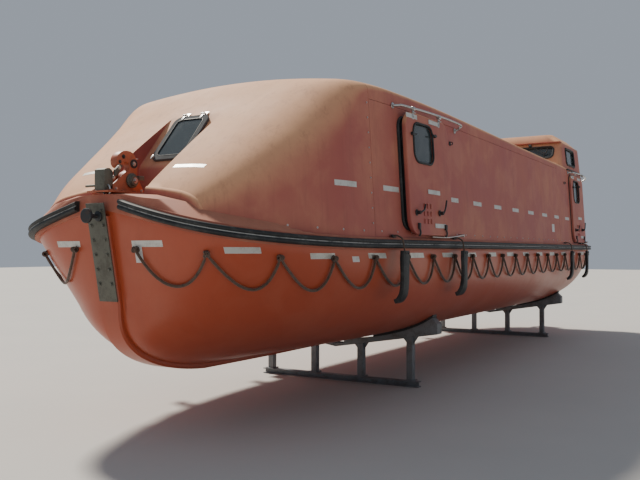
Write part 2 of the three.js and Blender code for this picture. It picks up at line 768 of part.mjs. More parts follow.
function doorGlazing(s, inset) {
  const { s0, z0, s1, z1, corner } = doorWindow;
  return roundedOutline(s + s0 + inset, z0 + inset, s + s1 - inset, z1 - inset, corner);
}

// Feet of a guide rod on the canopy: distance aft of the doorway's edge, rise.
const railFeet = [{ ds: -20, dz: 0 }, { ds: 1560, dz: -40 }];

// Line of the guide rod above a doorway: in at both ends to its feet.
function railBar(door, radius) {
  const s = door.doorway;
  const z = doorBottom + doorHeight + rail.above;
  // Columns: distance aft of the doorway's edge, rise, distance off the wall.
  const route = [
    [railFeet[0].ds, 0, 16], [10, 0, 64], [60, 0, rail.off], [800, 20, rail.off], [1500, 20, rail.off],
    [1560, -10, 64], [railFeet[1].ds, railFeet[1].dz, 16],
  ];
  return rod(route.map(([ds, dz, off]) => at(s + ds, sideFaceY(s + ds, z + dz) + off, z + dz)), radius, 6, 10);
}

function doorParts(door) {
  const s = door.doorway + door.slid;
  const stand = door.slid ? slidDoorStand : 0;
  const outer = stand + doorThickness;
  const panel = tilted(doorOutline(s, 0), stand, outer);
  const window = tilted(doorGlazing(s, 0), stand - 60, outer + 60);
  const levers = [[s + 170, 1985], [s + 740, 2000]].map(([ls, lz]) => {
    const y = sideFaceY(ls, lz) + outer;
    return join(
      drum("y", ls, y, lz, 26, 70, 8),
      rod([at(ls, y + 26, lz), at(ls + 150, y + 44, lz + 60)], 11, 6),
    );
  });
  const top = doorBottom + doorHeight;
  const hooks = hangers.map((ds) => {
    const y = sideFaceY(s + ds, top);
    return block(s + ds - 25, y + stand + 25, top - 70, s + ds + 25, y + rail.off + 24, top + rail.above + 34);
  });
  const wall = moved(canopyOuter, 0, gap, 0);
  const body = cut(join(panel, ...levers, ...hooks), window, wall, railBar(door, rail.radius + 2 * gap));
  const pane = tilted(doorGlazing(s, 2 * gap), stand + 22, stand + 22 + paneThickness);
  return { body, pane };
}

// Guide rod above a side door with its two feet on the canopy.
function doorRail(door) {
  const z = doorBottom + doorHeight + rail.above;
  const feet = railFeet.map(({ ds, dz }) => {
    const s = door.doorway + ds;
    return drum("y", s, sideFaceY(s, z + dz) + 8, z + dz, 24, 24, 8);
  });
  return cut(join(railBar(door, rail.radius), ...feet), moved(canopyOuter, 0, gap, 0));
}

// Steel strap bolted to the stem, with the mushroom post that takes the painter.
function makeStemPlate() {
  const face = (z) => stemProfile(z) - keelDepth * 1.02 - gap;
  const [high, low, thick, half] = [1985, 1190, 12, 100];
  const outline = [[face(high), high], [face(high) - thick, high], [face(low) - thick, low], [face(low), low]];
  const post = { z: 1880, y: 30 };
  const start = face(post.z);
  return join(
    cut(slab(outline, -half, half), moved(makeKeel(), gap, 0, 0)),
    drum("x", start - 18, post.y, post.z, 38, 20, 16),
    drum("x", start - 70, post.y, post.z, 20, 110, 12),
    drum("x", start - 128, post.y, post.z, 60, 26, 20),
  );
}

function makeSternPlate() {
  const back = hullLength - deckInset + gap;
  return block(back, -100, railHeight - 50, back + 12, 100, 1985);
}

// Release gear at one end: base plate, forward post with its pin, and two cheeks.
// Columns of each outline: d, the distance from that end of the boat, and z.
const hookPin = { d: 300, z: 2190, radius: 20 };
const hookBase = alcoveFloor + gap;

function endSlab(end, outline, y0, y1) {
  return slab(outline.map(([d, z]) => [fromEnd(end, d), z]), y0, y1);
}

function makeHookBracket(end) {
  const cheek = [
    [70, hookBase], [470, hookBase], [420, 2150], [350, 2250], [250, 2260], [160, 2200], [70, 2130],
  ];
  const post = [[0, hookBase], [95, hookBase], [95, 2240], [60, 2275], [0, 2262]];
  const pin = fromEnd(end, hookPin.d);
  return join(
    endSlab(end, [[-20, hookBase], [500, hookBase], [500, hookBase + 14], [-20, hookBase + 14]], -120, 120),
    endSlab(end, cheek, 42, 56),
    endSlab(end, cheek, -56, -42),
    endSlab(end, post, -56, 56),
    drum("y", fromEnd(end, 40), -80, 2135, 10, 240, 10),
    drum("y", pin, 0, hookPin.z, hookPin.radius, 112),
    drum("y", pin, 78, hookPin.z, 62, 44, 20),
    drum("y", pin, -78, hookPin.z, 62, 44, 20),
  );
}

function makeHook(end) {
  const body = [
    [255, 2120], [350, 2120], [385, 2210], [395, 2330], [370, 2400], [310, 2438], [235, 2436], [175, 2400],
    [150, 2350], [165, 2300], [205, 2290], [222, 2325], [262, 2345], [300, 2325], [300, 2285], [262, 2262],
    [232, 2235], [225, 2170],
  ];
  const bore = drum("y", fromEnd(end, hookPin.d), 0, hookPin.z, hookPin.radius + gap, 200);
  const roller = drum("y", fromEnd(end, 345), 0, 2335, 34, 74, 16);
  return cut(join(endSlab(end, body, -36, 36), roller), bore);
}

// Rubber strap fender on a lanyard over the rubbing fender.
const strapFenders = [2215, 3690, 9100, 10350];

function makeStrapFender(s) {
  const edge = railAt(s).half - deckInset;
  const ledge = railAt(s).z + deckHalfThickness + 2 * gap;
  const face = edge + fenderDepth + 22;
  const strip = [
    [face, 1610], [face + 46, 1610], [face + 52, 1400], [face + 46, 1200], [face + 20, 1130], [face - 40, 1112],
    [face - 44, 1150], [face - 2, 1180], [face + 4, 1400],
  ];
  const lanyard = [[face + 22, 1595], [face + 16, 1680], [edge + 36, ledge + 16], [edge - 8, ledge + 14]];
  return join(
    frame(strip, s - 68, s + 68),
    rod(lanyard.map(([y, z]) => at(s, y, z)), 9, 6, 6),
    block(s - 40, canopyFoot(s) + 14, ledge, s + 40, edge + 2, ledge + 26),
    rod([at(s, face - 20, 1135), at(s + 20, face - 22, 1050)], 8, 6),
  );
}

// Four-bladed propeller with its shaft, turning about a fore-and-aft axis.
function makePropeller() {
  const { s, z, radius, hub } = propeller;
  const pitch = 340;
  // Columns: radius, chord, thickness.
  const sections = [[hub - 14, 90, 18], [120, 150, 13], [190, 165, 9], [radius, 84, 5]];
  const blade = skin(
    sections.map(([r, chord, thick]) => {
      const angle = Math.atan2(pitch, 2 * Math.PI * r);
      const outline = [[-0.5, 0], [-0.15, 0.5], [0.25, 0.45], [0.5, 0], [0.25, -0.45], [-0.15, -0.5]];
      return outline.map(([u, v]) => {
        const [a, b] = [u * chord, v * thick];
        const along = a * Math.sin(angle) + b * Math.cos(angle);
        const round = a * Math.cos(angle) - b * Math.sin(angle);
        return new THREE.Vector3(along, round, r);
      });
    }),
  );
  const blades = [0, 90, 180, 270].map((turn) =>
    blade.clone().rotateX(rad(turn)).translate(stemX - s, 0, z));
  const cone = new THREE.LatheGeometry(
    [[0, -66], [hub, -66], [hub, 50], [40, 84], [0, 96]].map(([x, y]) => new THREE.Vector2(x, y)), 16,
  ).rotateZ(Math.PI / 2).translate(stemX - s, 0, z);
  return join(cone, drum("x", s - 230, 0, z, 24, 420), ...blades);
}

function makeRudder() {
  const { s, radius, pintle } = rudderStock;
  const bottom = keelBottom + 14;
  const blade = slab([[s - 70, bottom], [s + 280, bottom + 40], [s + 290, 1190], [s - 70, 1150]], -19, 19);
  return join(
    blade,
    drum("z", s, 0, (bottom + 1540) / 2, radius, 1540 - bottom),
    drum("z", s, 0, bottom - 20, pintle, 60),
  );
}

// Steering place below the tower: stand over the engine, console and seat.
function makeHelm() {
  const floor = floorHeight + gap;
  const [front, aft] = [9720, 10880];
  const top = 2140;
  const legs = [front + 40, aft - 40].flatMap((s) =>
    [-1, 1].map((side) => block(s - 30, side * 480 - 30, floor, s + 30, side * 480 + 30, top - 20)));
  return join(
    block(front, -540, top - 40, aft, 540, top),
    ...legs,
    block(front + 20, -260, top - 20, front + 180, 260, 3000),
    block(front + 10, -330, 2980, front + 280, 330, 3060),
    drum("z", 10480, 0, 2360, 60, 480, 16),
    block(10270, -230, 2590, 10690, 230, 2670),
    block(10640, -210, 2600, 10720, 210, 3080),
  );
}

function makeBench() {
  const floor = floorHeight + gap;
  return join(
    block(2300, -300, 1430, 8700, 300, 1480),
    block(2340, -40, floor, 8660, 40, 1450),
  );
}

// Hull-side point at height z, by distance run round the plan from the stem face, with its outward normal.
const hullMesh = new THREE.Mesh(solidHull);
const inwards = new THREE.Raycaster();
function onHull(near, out) {
  inwards.set(near.clone().addScaledVector(out, 500), out.clone().negate());
  return inwards.intersectObject(hullMesh)[0].point;
}

function hullSide(run, z) {
  const plan = stations.map((station) => hullPointAtHeight(station, z));
  let left = run;
  for (let i = 0; i + 1 < plan.length; i++) {
    const [a, b] = [plan[i], plan[i + 1]];
    const length = Math.hypot(b.s - a.s, b.y - a.y);
    if (left <= length) {
      const t = left / length;
      const out = new THREE.Vector3((b.y - a.y) / length, (b.s - a.s) / length, 0);
      const near = at(a.s + t * (b.s - a.s), a.y + t * (b.y - a.y), z);
      return { point: onHull(near, out), out };
    }
    left -= length;
  }
  throw new Error("the run is longer than the hull side");
}

const line = {
  radius: 12, becket: 14, stand: 12, pitch: 592, first: 200, crest: 1545, sag: 270, loops: 21,
  bowLift: 85, liftRun: 1600,
};

// Round bar through points, each with its outward direction; every point is kept.
function barThrough(points, outs, radius, sides) {
  const rings = points.map((p, i) => {
    const from = points[Math.max(0, i - 1)];
    const to = points[Math.min(points.length - 1, i + 1)];
    const along = to.clone().sub(from).normalize();
    const out = outs[i].clone().addScaledVector(along, -outs[i].dot(along)).normalize();
    const up = along.clone().cross(out);
    return Array.from({ length: sides }, (_, k) => {
      const a = (2 * Math.PI * k) / sides;
      return p.clone().addScaledVector(out, radius * Math.cos(a)).addScaledVector(up, radius * Math.sin(a));
    });
  });
  return skin(rings);
}

// Grab line along the hull side of port (1) or starboard (-1), each becket trimmed to the hull.
function makeGrabLine(side) {
  const steps = 5;
  const points = [];
  const outs = [];
  for (let i = 0; i <= line.loops * steps; i++) {
    const phase = (i % steps) / steps;
    const run = line.first + (line.pitch * i) / steps;
    const lift = line.bowLift * Math.max(0, 1 - run / line.liftRun);
    const z = line.crest + lift - line.sag * (1 - Math.pow(2 * phase - 1, 2));
    const { point, out } = hullSide(run, z);
    points.push(point.clone().addScaledVector(out, line.radius + line.stand));
    outs.push(out);
  }
  for (let i = 0; i + 1 < points.length; i++) {
    const middle = points[i].clone().lerp(points[i + 1], 0.5);
    const clear = middle.clone().sub(onHull(middle, outs[i])).dot(outs[i]);
    const push = Math.max(0, line.radius + line.stand * 0.7 - clear);
    [i, i + 1].forEach((k) => points[k].addScaledVector(outs[k], push));
  }
  const beckets = points.flatMap((centre, i) => {
    if (i % steps) return [];
    const out = outs[i];
    const becket = rod([onHull(centre, out).addScaledVector(out, -8), centre.clone()], line.becket, 4);
    return [cut(becket, moved(solidHull, gap * out.x, gap * out.y, 0))];
  });
  const rope = join(barThrough(points, outs, line.radius, 4), ...beckets);
  return side > 0 ? rope : mirrored(rope);
}

// Cradle stands: two legs a side on a ground beam, with sloping bolsters padded under the bilge.
const stands = [{ name: "forward", s: 3950 }, { name: "aft", s: 10050 }];
const cradle = { legs: [330, 985], beamHalf: 1100, beamHalfWidth: 45, legHalfWidth: 40, bolsterHalfWidth: 70 };
const padThickness = 30;
const bolsterOutline = [[0, 420], [1350, 640], [1350, 760], [1200, 900], [0, 900]];
const keelSlot = 125;

function makeStand({ s }) {
  const { legs, beamHalf, beamHalfWidth, legHalfWidth, bolsterHalfWidth } = cradle;
  const posts = legs.flatMap((y) => [-y, y]).map((y) =>
    block(s - legHalfWidth, y - legHalfWidth, 0, s + legHalfWidth, y + legHalfWidth, 640));
  const beam = block(s - beamHalfWidth, -beamHalf, 0, s + beamHalfWidth, beamHalf, 70);
  const bolster = frame(bolsterOutline, s - bolsterHalfWidth, s + bolsterHalfWidth);
  const keelCutter = block(s - 400, -keelSlot, keelBottom - padThickness - gap, s + 400, keelSlot, 1200);
  const hullCutter = moved(solidHull, 0, 0, -padThickness - gap);
  return cut(join(beam, ...posts, bolster, mirrored(bolster)), hullCutter, keelCutter);
}

// Hard rubber pad between a bolster and the bilge.
function makePad({ s }) {
  const half = cradle.bolsterHalfWidth - 8;
  const layer = cut(moved(solidHull, 0, 0, -padThickness), moved(solidHull, 0, 0, -gap));
  return common(layer, block(s - half, 520, 300, s + half, 1290, 1200));
}

// Assembly
const lifeboat = new THREE.Group();
function add(name, geometry, material) {
  const mesh = new THREE.Mesh(geometry, material);
  mesh.name = name;
  lifeboat.add(mesh);
}

add("hull", makeHull(), hullOrange);
add("deck", makeDeck(), deckOrange);
add("keel", makeKeel(), hullOrange);
const fender = makeFender();
add("fender_port", fender, rubberBlack);
add("fender_starboard", mirrored(fender), rubberBlack);
add("canopy_bow", makeCanopyBow(), canopyOrange);
add("canopy_side_port", makeCanopySide(1), canopyOrange);
add("canopy_side_starboard", makeCanopySide(-1), canopyOrange);
add("canopy_roof", makeCanopyRoof(), canopyOrange);
add("canopy_stern", makeCanopyStern(), canopyOrange);
add("tower", makeTower(), canopyOrange);
const sidePane = towerPane(sideWindow(2 * gap, 1000, 2000));
add("tower_window_front", towerPane(endWindow(towerWindows.front, 2 * gap)), tintedGlass);
add("tower_window_aft", towerPane(endWindow(towerWindows.aft, 2 * gap)), tintedGlass);
add("tower_window_port", sidePane, tintedGlass);
add("tower_window_starboard", mirrored(sidePane), tintedGlass);
add("tower_hatch", makeTowerHatch(), canopyOrange);
for (const end of ["bow", "stern"]) {
  const { frame, pane } = makeHatch(end);
  add(end + "_hatch", frame, canopyOrange);
  add(end + "_hatch_window", pane, tintedGlass);
  add(end + "_hook_bracket", makeHookBracket(end), darkSteel);
  add(end + "_hook", makeHook(end), hookOrange);
}
add("stem_plate", makeStemPlate(), plateSteel);
add("stern_plate", makeSternPlate(), plateSteel);
doors.forEach((door) => {
  const { body, pane } = doorParts(door);
  const sided = (g) => (door.side > 0 ? g : mirrored(g));
  add("door_" + door.name, sided(body), canopyOrange);
  add("door_window_" + door.name, sided(pane), tintedGlass);
  add("door_rail_" + door.name, sided(doorRail(door)), darkSteel);
});
add("grab_line_port", makeGrabLine(1), ropeGrey);
add("grab_line_starboard", makeGrabLine(-1), ropeGrey);
strapFenders.forEach((s, i) => {
  const strap = makeStrapFender(s);
  add("strap_fender_port_" + (i + 1), strap, rubberBlack);
  add("strap_fender_starboard_" + (i + 1), mirrored(strap), rubberBlack);
});
add("propeller", makePropeller(), bronze);
add("rudder", makeRudder(), hullOrange);
add("engine", block(9360, -330, floorHeight + gap, 10420, 330, 1640), engineGrey);
add("helm", makeHelm(), linerWhite);
add("bench", makeBench(), linerWhite);
stands.forEach((stand) => {
  const pad = makePad(stand);
  add("cradle_" + stand.name, makeStand(stand), cradleSteel);
  add("pad_" + stand.name + "_port", pad, rubberBlack);
  add("pad_" + stand.name + "_starboard", mirrored(pad), rubberBlack);
});

export default lifeboat;
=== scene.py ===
# Totally enclosed ship's lifeboat on its storage cradle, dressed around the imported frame.
# Metres. +X forward, +Y port, +Z up. s is the distance aft of the stem face: x = stemX - s.
# Most shapes are made for the port side and mirrored.
import math
import bmesh
import bpy
from mathutils import Matrix, Vector
from mathutils.bvhtree import BVHTree


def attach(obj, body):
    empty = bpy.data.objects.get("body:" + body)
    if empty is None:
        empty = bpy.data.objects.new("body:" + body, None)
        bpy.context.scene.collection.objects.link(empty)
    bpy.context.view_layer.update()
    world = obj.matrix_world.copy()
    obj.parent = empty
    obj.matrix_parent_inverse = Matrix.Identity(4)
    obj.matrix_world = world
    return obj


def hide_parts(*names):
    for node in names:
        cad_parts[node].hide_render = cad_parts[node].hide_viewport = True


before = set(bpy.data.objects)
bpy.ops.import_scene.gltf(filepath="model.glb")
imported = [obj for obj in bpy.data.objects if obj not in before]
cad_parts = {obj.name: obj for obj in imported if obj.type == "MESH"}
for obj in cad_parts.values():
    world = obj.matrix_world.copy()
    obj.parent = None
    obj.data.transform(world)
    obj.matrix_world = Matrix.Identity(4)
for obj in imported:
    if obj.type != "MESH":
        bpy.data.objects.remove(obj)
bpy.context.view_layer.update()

# Camera, at the photograph's viewing angle
view = {"place": (10.460, 4.625, 1.600), "heading": 210.417, "pitch": 0.854, "lens": 42.76, "reach": 200}


def direction(heading, pitch):  # unit vector from two angles in degrees
    heading, pitch = math.radians(heading), math.radians(pitch)
    return Vector((math.cos(heading) * math.cos(pitch), math.sin(heading) * math.cos(pitch), math.sin(pitch)))


def addCamera():
    data = bpy.data.cameras.new("camera")
    data.lens = view["lens"]
    data.clip_end = view["reach"]
    camera = bpy.data.objects.new("camera", data)
    camera.location = view["place"]
    camera.rotation_euler = direction(view["heading"], view["pitch"]).to_track_quat("-Z", "Y").to_euler()
    bpy.context.scene.collection.objects.link(camera)
    bpy.context.scene.camera = camera


addCamera()
print("camera set")


# Shapes: a shape is a pair of points and faces

joinWithin = 1e-6  # points nearer than this are one


def circle(count):  # angles round a full turn
    return [2 * math.pi * k / count for k in range(count)]


def combine(*shapes):
    points, faces = [], []
    for shapePoints, shapeFaces in shapes:
        base = len(points)
        points += [Vector(p) for p in shapePoints]
        faces += [tuple(base + i for i in face) for face in shapeFaces]
    return points, faces


def placed(shape, matrix):
    return [matrix @ Vector(p) for p in shape[0]], shape[1]


def mirrored(shape):
    return [Vector((p[0], -p[1], p[2])) for p in shape[0]], [tuple(reversed(f)) for f in shape[1]]


def handed(shape, side):  # side is 1 for port, as built, and -1 for starboard
    return shape if side > 0 else mirrored(shape)


def bothSides(*shapes):
    return combine(*shapes, *[mirrored(shape) for shape in shapes])


def skin(rings, caps=True):  # body through rings of equal point count
    n = len(rings[0])
    points = [Vector(p) for ring in rings for p in ring]
    faces = []
    for i in range(len(rings) - 1):
        for j in range(n):
            a, b = i * n + j, i * n + (j + 1) % n
            faces.append((a, b, b + n, a + n))
    if caps:
        faces.append(tuple(reversed(range(n))))
        faces.append(tuple((len(rings) - 1) * n + j for j in range(n)))
    return points, faces


def fromMesh(bm):
    bm.verts.index_update()
    shape = [v.co.copy() for v in bm.verts], [tuple(v.index for v in f.verts) for f in bm.faces]
    bm.free()
    return shape


def toMesh(shape):
    bm = bmesh.new()
    made = [bm.verts.new(p) for p in shape[0]]
    for face in shape[1]:
        try:
            bm.faces.new([made[i] for i in face])
        except ValueError:  # a face given twice stays one
            pass
    return bm


def softened(shape, width, segments=2, angle=30):  # edges sharper than the angle get rounded
    bm = toMesh(shape)
    bmesh.ops.remove_doubles(bm, verts=bm.verts, dist=joinWithin)
    bmesh.ops.recalc_face_normals(bm, faces=bm.faces)
    limit = math.radians(angle)
    sharp = [e for e in bm.edges if len(e.link_faces) == 2 and e.calc_face_angle() > limit]
    bmesh.ops.bevel(bm, geom=sharp, offset=width, segments=segments, profile=0.6, affect="EDGES",
                    clamp_overlap=True)
    return fromMesh(bm)


def box(size, round, segments=2):  # centred on the origin
    bm = bmesh.new()
    bmesh.ops.create_cube(bm, size=1, matrix=Matrix.Diagonal((*size, 1)))
    shape = fromMesh(bm)
    return softened(shape, round, segments) if round else shape


def boxBetween(low, high, round=0.003, segments=2):
    low, high = Vector(low), Vector(high)
    size = [abs(high[i] - low[i]) for i in range(3)]
    return placed(box(size, round, segments), Matrix.Translation((low + high) / 2))


def boxAt(p, low, high, round):  # by its two corners measured from p
    return boxBetween(p + Vector(low), p + Vector(high), round)


def turned(profile, sides):  # columns: radius, height; spun about Z
    n = len(profile)
    points = [Vector((r * math.cos(a), r * math.sin(a), h)) for a in circle(sides) for r, h in profile]
    faces = []
    for k in range(sides):
        for j in range(n - 1):
            a, b = k * n + j, (k + 1) % sides * n + j
            faces.append((a, b, b + 1, a + 1))
    bm = toMesh((points, faces))
    bmesh.ops.remove_doubles(bm, verts=bm.verts, dist=joinWithin)
    return fromMesh(bm)


def extruded(outline, depth, round):  # outline in XY, from z 0 to depth, with a small chamfer
    return softened(skin([[(x, y, z) for x, y in outline] for z in (0, depth)]), round, 1, 40)


def tube(points, radius, sides, closed=False):
    points = [Vector(p) for p in points]
    count = len(points)
    rings, side = [], None
    for i, p in enumerate(points):
        before = points[(i - 1) % count if closed else max(0, i - 1)]
        after = points[(i + 1) % count if closed else min(count - 1, i + 1)]
        along = (after - before).normalized()
        if side is None:
            side = along.orthogonal().normalized()
        side = (side - along * side.dot(along)).normalized()
        up = along.cross(side)
        rings.append([p + (side * math.cos(a) + up * math.sin(a)) * radius for a in circle(sides)])
    return skin(rings + rings[:1], caps=False) if closed else skin(rings)


def smoothPath(points, steps):  # Catmull-Rom through the points
    points = [Vector(p) for p in points]
    out = []
    for i in range(len(points) - 1):
        a, b = points[max(0, i - 1)], points[i]
        c, d = points[i + 1], points[min(len(points) - 1, i + 2)]
        for k in range(steps):
            t = k / steps
            out.append(0.5 * (2 * b + (c - a) * t + (2 * a - 5 * b + 4 * c - d) * t**2
                              + (3 * b - a - 3 * c + d) * t**3))
    return out + [points[-1]]


def roundedOutline(x0, y0, x1, y1, radius, steps=6):
    corners = [(x1 - radius, y1 - radius, 0), (x0 + radius, y1 - radius, 90),
               (x0 + radius, y0 + radius, 180), (x1 - radius, y0 + radius, 270)]
    out = []
    for cx, cy, start in corners:
        for k in range(steps + 1):
            a = math.radians(start + 90 * k / steps)
            out.append((cx + radius * math.cos(a), cy + radius * math.sin(a)))
    return out


def basis(origin, x, z):  # matrix with X along x and Z along z as far as they allow
    z = Vector(z).normalized()
    x = (Vector(x) - z * Vector(x).dot(z)).normalized()
    y = z.cross(x)
    m = Matrix((x, y, z)).transposed().to_4x4()
    m.translation = Vector(origin)
    return m


def bolt(origin, normal, size=0.012):  # hexagon head on a washer
    thick = size * 0.25
    washer = turned([(0, 0), (size * 1.5, 0), (size * 1.5, thick), (0, thick)], 20)
    hexagon = [(size * math.cos(a), size * math.sin(a)) for a in circle(6)]
    head = placed(extruded(hexagon, size * 0.75, size * 0.12), Matrix.Translation((0, 0, thick)))
    z = Vector(normal).normalized()
    return placed(combine(washer, head), basis(origin, z.orthogonal(), z))


# Pieces in the scene

sides = (("port", 1), ("starboard", -1))
smoothAngle = math.radians(35)  # sharper edges stay crisp


def makeObject(name, shape, material):
    mesh = bpy.data.meshes.new(name)
    bm = toMesh(shape)
    bmesh.ops.remove_doubles(bm, verts=bm.verts, dist=joinWithin)
    bmesh.ops.recalc_face_normals(bm, faces=bm.faces)
    bm.to_mesh(mesh)
    bm.free()
    mesh.materials.append(material)
    mesh.shade_smooth()
    mesh.set_sharp_from_angle(angle=smoothAngle)
    obj = bpy.data.objects.new(name, mesh)
    bpy.context.scene.collection.objects.link(obj)
    return obj


def carve(obj, cutters, material=None, mode="DIFFERENCE"):  # exact cut by each shape in turn
    for shape in cutters:
        ready = isinstance(shape, bpy.types.Object)
        cutter = shape if ready else makeObject("cutter", shape, material or obj.data.materials[0])
        change = obj.modifiers.new("cut", "BOOLEAN")
        change.operation = mode
        change.solver = "EXACT"
        change.object = cutter
        change.material_mode = "TRANSFER"
        graph = bpy.context.evaluated_depsgraph_get()
        mesh = bpy.data.meshes.new_from_object(obj.evaluated_get(graph))
        obj.modifiers.clear()
        obj.data = mesh
        bpy.data.objects.remove(cutter)
    obj.data.shade_smooth()
    obj.data.set_sharp_from_angle(angle=smoothAngle)


def settle(obj, body="boat", replaces=()):
    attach(obj, body)
    if replaces:
        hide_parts(*replaces)


def piece(name, shape, material, body="boat", replaces=()):
    settle(makeObject(name, shape, material), body, replaces)


def treeOf(obj):  # finds places on a finished mesh
    return BVHTree.FromObject(obj, bpy.context.evaluated_depsgraph_get())


# Node groups that several finishes share

def newGroup(name, inputs, outputs):
    group = bpy.data.node_groups.new(name, "ShaderNodeTree")
    for label, kind, value in inputs:
        socket = group.interface.new_socket(name=label, in_out="INPUT", socket_type=kind)
        socket.default_value = value
    for label, kind in outputs:
        group.interface.new_socket(name=label, in_out="OUTPUT", socket_type=kind)
    return group, group.nodes.new("NodeGroupInput"), group.nodes.new("NodeGroupOutput")


colourKind, valueKind = "NodeSocketColor", "NodeSocketFloat"


class Net:  # short forms for adding and joining nodes in one tree
    def __init__(self, tree):
        self.tree = tree

    def put(self, socket, value):
        if hasattr(value, "is_output") and value.is_output:
            self.tree.links.new(value, socket)
        else:
            socket.default_value = value

    def add(self, kind, settings=(), **inputs):
        node = self.tree.nodes.new(kind)
        for key, value in dict(settings).items():
            setattr(node, key, value)
        for key, value in inputs.items():
            self.put(node.inputs[key.replace("_", " ")], value)
        return node

    def math(self, operation, a, b, clamp=False):
        node = self.tree.nodes.new("ShaderNodeMath")
        node.operation, node.use_clamp = operation, clamp
        self.put(node.inputs[0], a)
        self.put(node.inputs[1], b)
        return node.outputs[0]

    def sum(self, a, partA, b, partB):  # partA of the first value and partB of the second
        first = a if partA == 1.0 else self.math("MULTIPLY", a, partA)
        return self.math("ADD", first, self.math("MULTIPLY", b, partB))

    def mix(self, factor, a, b):
        node = self.tree.nodes.new("ShaderNodeMix")
        node.data_type, node.blend_type = "RGBA", "MIX"
        self.put(node.inputs[0], factor)
        self.put(node.inputs[6], a)
        self.put(node.inputs[7], b)
        return node.outputs[2]

    def step(self, value, low, high, toHigh=1.0):  # smooth ramp from nought at low to toHigh at high
        node = self.tree.nodes.new("ShaderNodeMapRange")
        node.interpolation_type = "SMOOTHSTEP"
        for i, item in enumerate((value, low, high, 0.0, toHigh)):
            self.put(node.inputs[i], item)
        return node.outputs[0]

    def noise(self, vector, scale, detail, rough, distortion=0.0):
        node = self.tree.nodes.new("ShaderNodeTexNoise")
        self.put(node.inputs["Vector"], vector)
        values = {"Scale": scale, "Detail": detail, "Roughness": rough, "Distortion": distortion}
        for key, value in values.items():
            self.put(node.inputs[key], value)
        return node.outputs[0]

    def stretched(self, vector, scale):
        node = self.tree.nodes.new("ShaderNodeVectorMath")
        node.operation = "MULTIPLY"
        self.put(node.inputs[0], vector)
        node.inputs[1].default_value = scale
        return node.outputs[0]

    def objectPlace(self):
        return self.tree.nodes.new("ShaderNodeTexCoord").outputs["Object"]

    def objectNormal(self):
        return self.tree.nodes.new("ShaderNodeTexCoord").outputs["Normal"]


def makeFadedAndSunlit():  # moulded plastic paint: lighter where it faces the sky, part real sun chalking and part painted sunlight, so faces turned down keep the darker paint as painted shade; streaked by rain
    group, given, out = newGroup("fadedAndSunlit", [
        ("Paint", colourKind, (0.5, 0.1, 0.05, 1)), ("Chalk", colourKind, (0.7, 0.4, 0.25, 1)),
        ("Stain", colourKind, (0.2, 0.08, 0.06, 1)), ("Fade", valueKind, 0.6), ("Streak", valueKind, 0.3),
        ("Patch", valueKind, 0.3), ("Gloss", valueKind, 0.4), ("Seed", valueKind, 0.0),
    ], [("Color", colourKind), ("Roughness", valueKind), ("Height", valueKind)])
    net = Net(group)
    shifted = net.add("ShaderNodeVectorMath", {"operation": "ADD"})
    net.put(shifted.inputs[0], net.objectPlace())
    joined = net.add("ShaderNodeCombineXYZ", X=given.outputs["Seed"], Y=given.outputs["Seed"])
    net.put(shifted.inputs[1], joined.outputs[0])
    place = shifted.outputs[0]
    up = net.add("ShaderNodeSeparateXYZ", Vector=net.objectNormal()).outputs["Z"]
    broad = net.noise(place, scale=0.9, detail=5.0, rough=0.6)
    uneven = net.math("SUBTRACT", broad, 0.5)
    # faces turned up take the lighter colour, real chalking with painted sunlight in it; faces turned down stay
    # darker as painted shade
    facing = net.step(net.sum(up, 1.0, uneven, 0.7), -0.05, 0.85)
    fade = net.math("MULTIPLY", facing, given.outputs["Fade"], clamp=True)
    colour = net.mix(fade, given.outputs["Paint"], given.outputs["Chalk"])
    patches = net.step(net.noise(place, scale=2.3, detail=6.0, rough=0.62, distortion=0.4), 0.42, 0.68)
    colour = net.mix(net.math("MULTIPLY", patches, given.outputs["Patch"]), colour, given.outputs["Chalk"])
    runs = net.noise(net.stretched(place, (9.0, 9.0, 0.45)), scale=1.0, detail=7.0, rough=0.66)
    fineRuns = net.noise(net.stretched(place, (38.0, 38.0, 1.1)), scale=1.0, detail=4.0, rough=0.6)
    streaks = net.step(net.sum(runs, 0.65, fineRuns, 0.35), 0.47, 0.72)
    streaks = net.math("MULTIPLY", streaks, given.outputs["Streak"])
    colour = net.mix(streaks, colour, given.outputs["Stain"])
    speckle = net.noise(place, scale=55.0, detail=3.0, rough=0.7)
    colour = net.mix(net.step(speckle, 0.66, 0.8, toHigh=0.16), colour, given.outputs["Stain"])
    grain = net.noise(place, scale=160.0, detail=2.0, rough=0.5)
    rough = net.sum(given.outputs["Gloss"], 1.0, fade, 0.22)
    rough = net.sum(rough, 1.0, uneven, 0.25)
    rough = net.math("ADD", rough, net.math("MULTIPLY", grain, 0.06), clamp=True)
    waves = net.noise(net.stretched(place, (1.0, 1.0, 0.8)), scale=2.1, detail=2.0, rough=0.5)
    peel = net.noise(place, scale=95.0, detail=2.0, rough=0.5)
    height = net.sum(waves, 1.0, peel, 0.02)
    net.put(out.inputs["Color"], colour)
    net.put(out.inputs["Roughness"], rough)
    net.put(out.inputs["Height"], height)
    return group


def makeWornEdge():  # mask of edges rubbed bare, from the bevelled normal
    group, given, out = newGroup("wornEdge", [
        ("Radius", valueKind, 0.004), ("Amount", valueKind, 0.6)], [("Mask", valueKind)])
    net = Net(group)
    soft = net.add("ShaderNodeBevel", {"samples": 4}, Radius=given.outputs["Radius"])
    flat = net.tree.nodes.new("ShaderNodeNewGeometry")
    dot = net.add("ShaderNodeVectorMath", {"operation": "DOT_PRODUCT"})
    net.put(dot.inputs[0], soft.outputs[0])
    net.put(dot.inputs[1], flat.outputs["True Normal"])
    edge = net.step(dot.outputs["Value"], 0.99, 0.86)
    chips = net.step(net.noise(net.objectPlace(), scale=60.0, detail=5.0, rough=0.7), 0.42, 0.58)
    mask = net.math("MULTIPLY", net.math("MULTIPLY", edge, chips), given.outputs["Amount"], clamp=True)
    net.put(out.inputs["Mask"], mask)
    return group


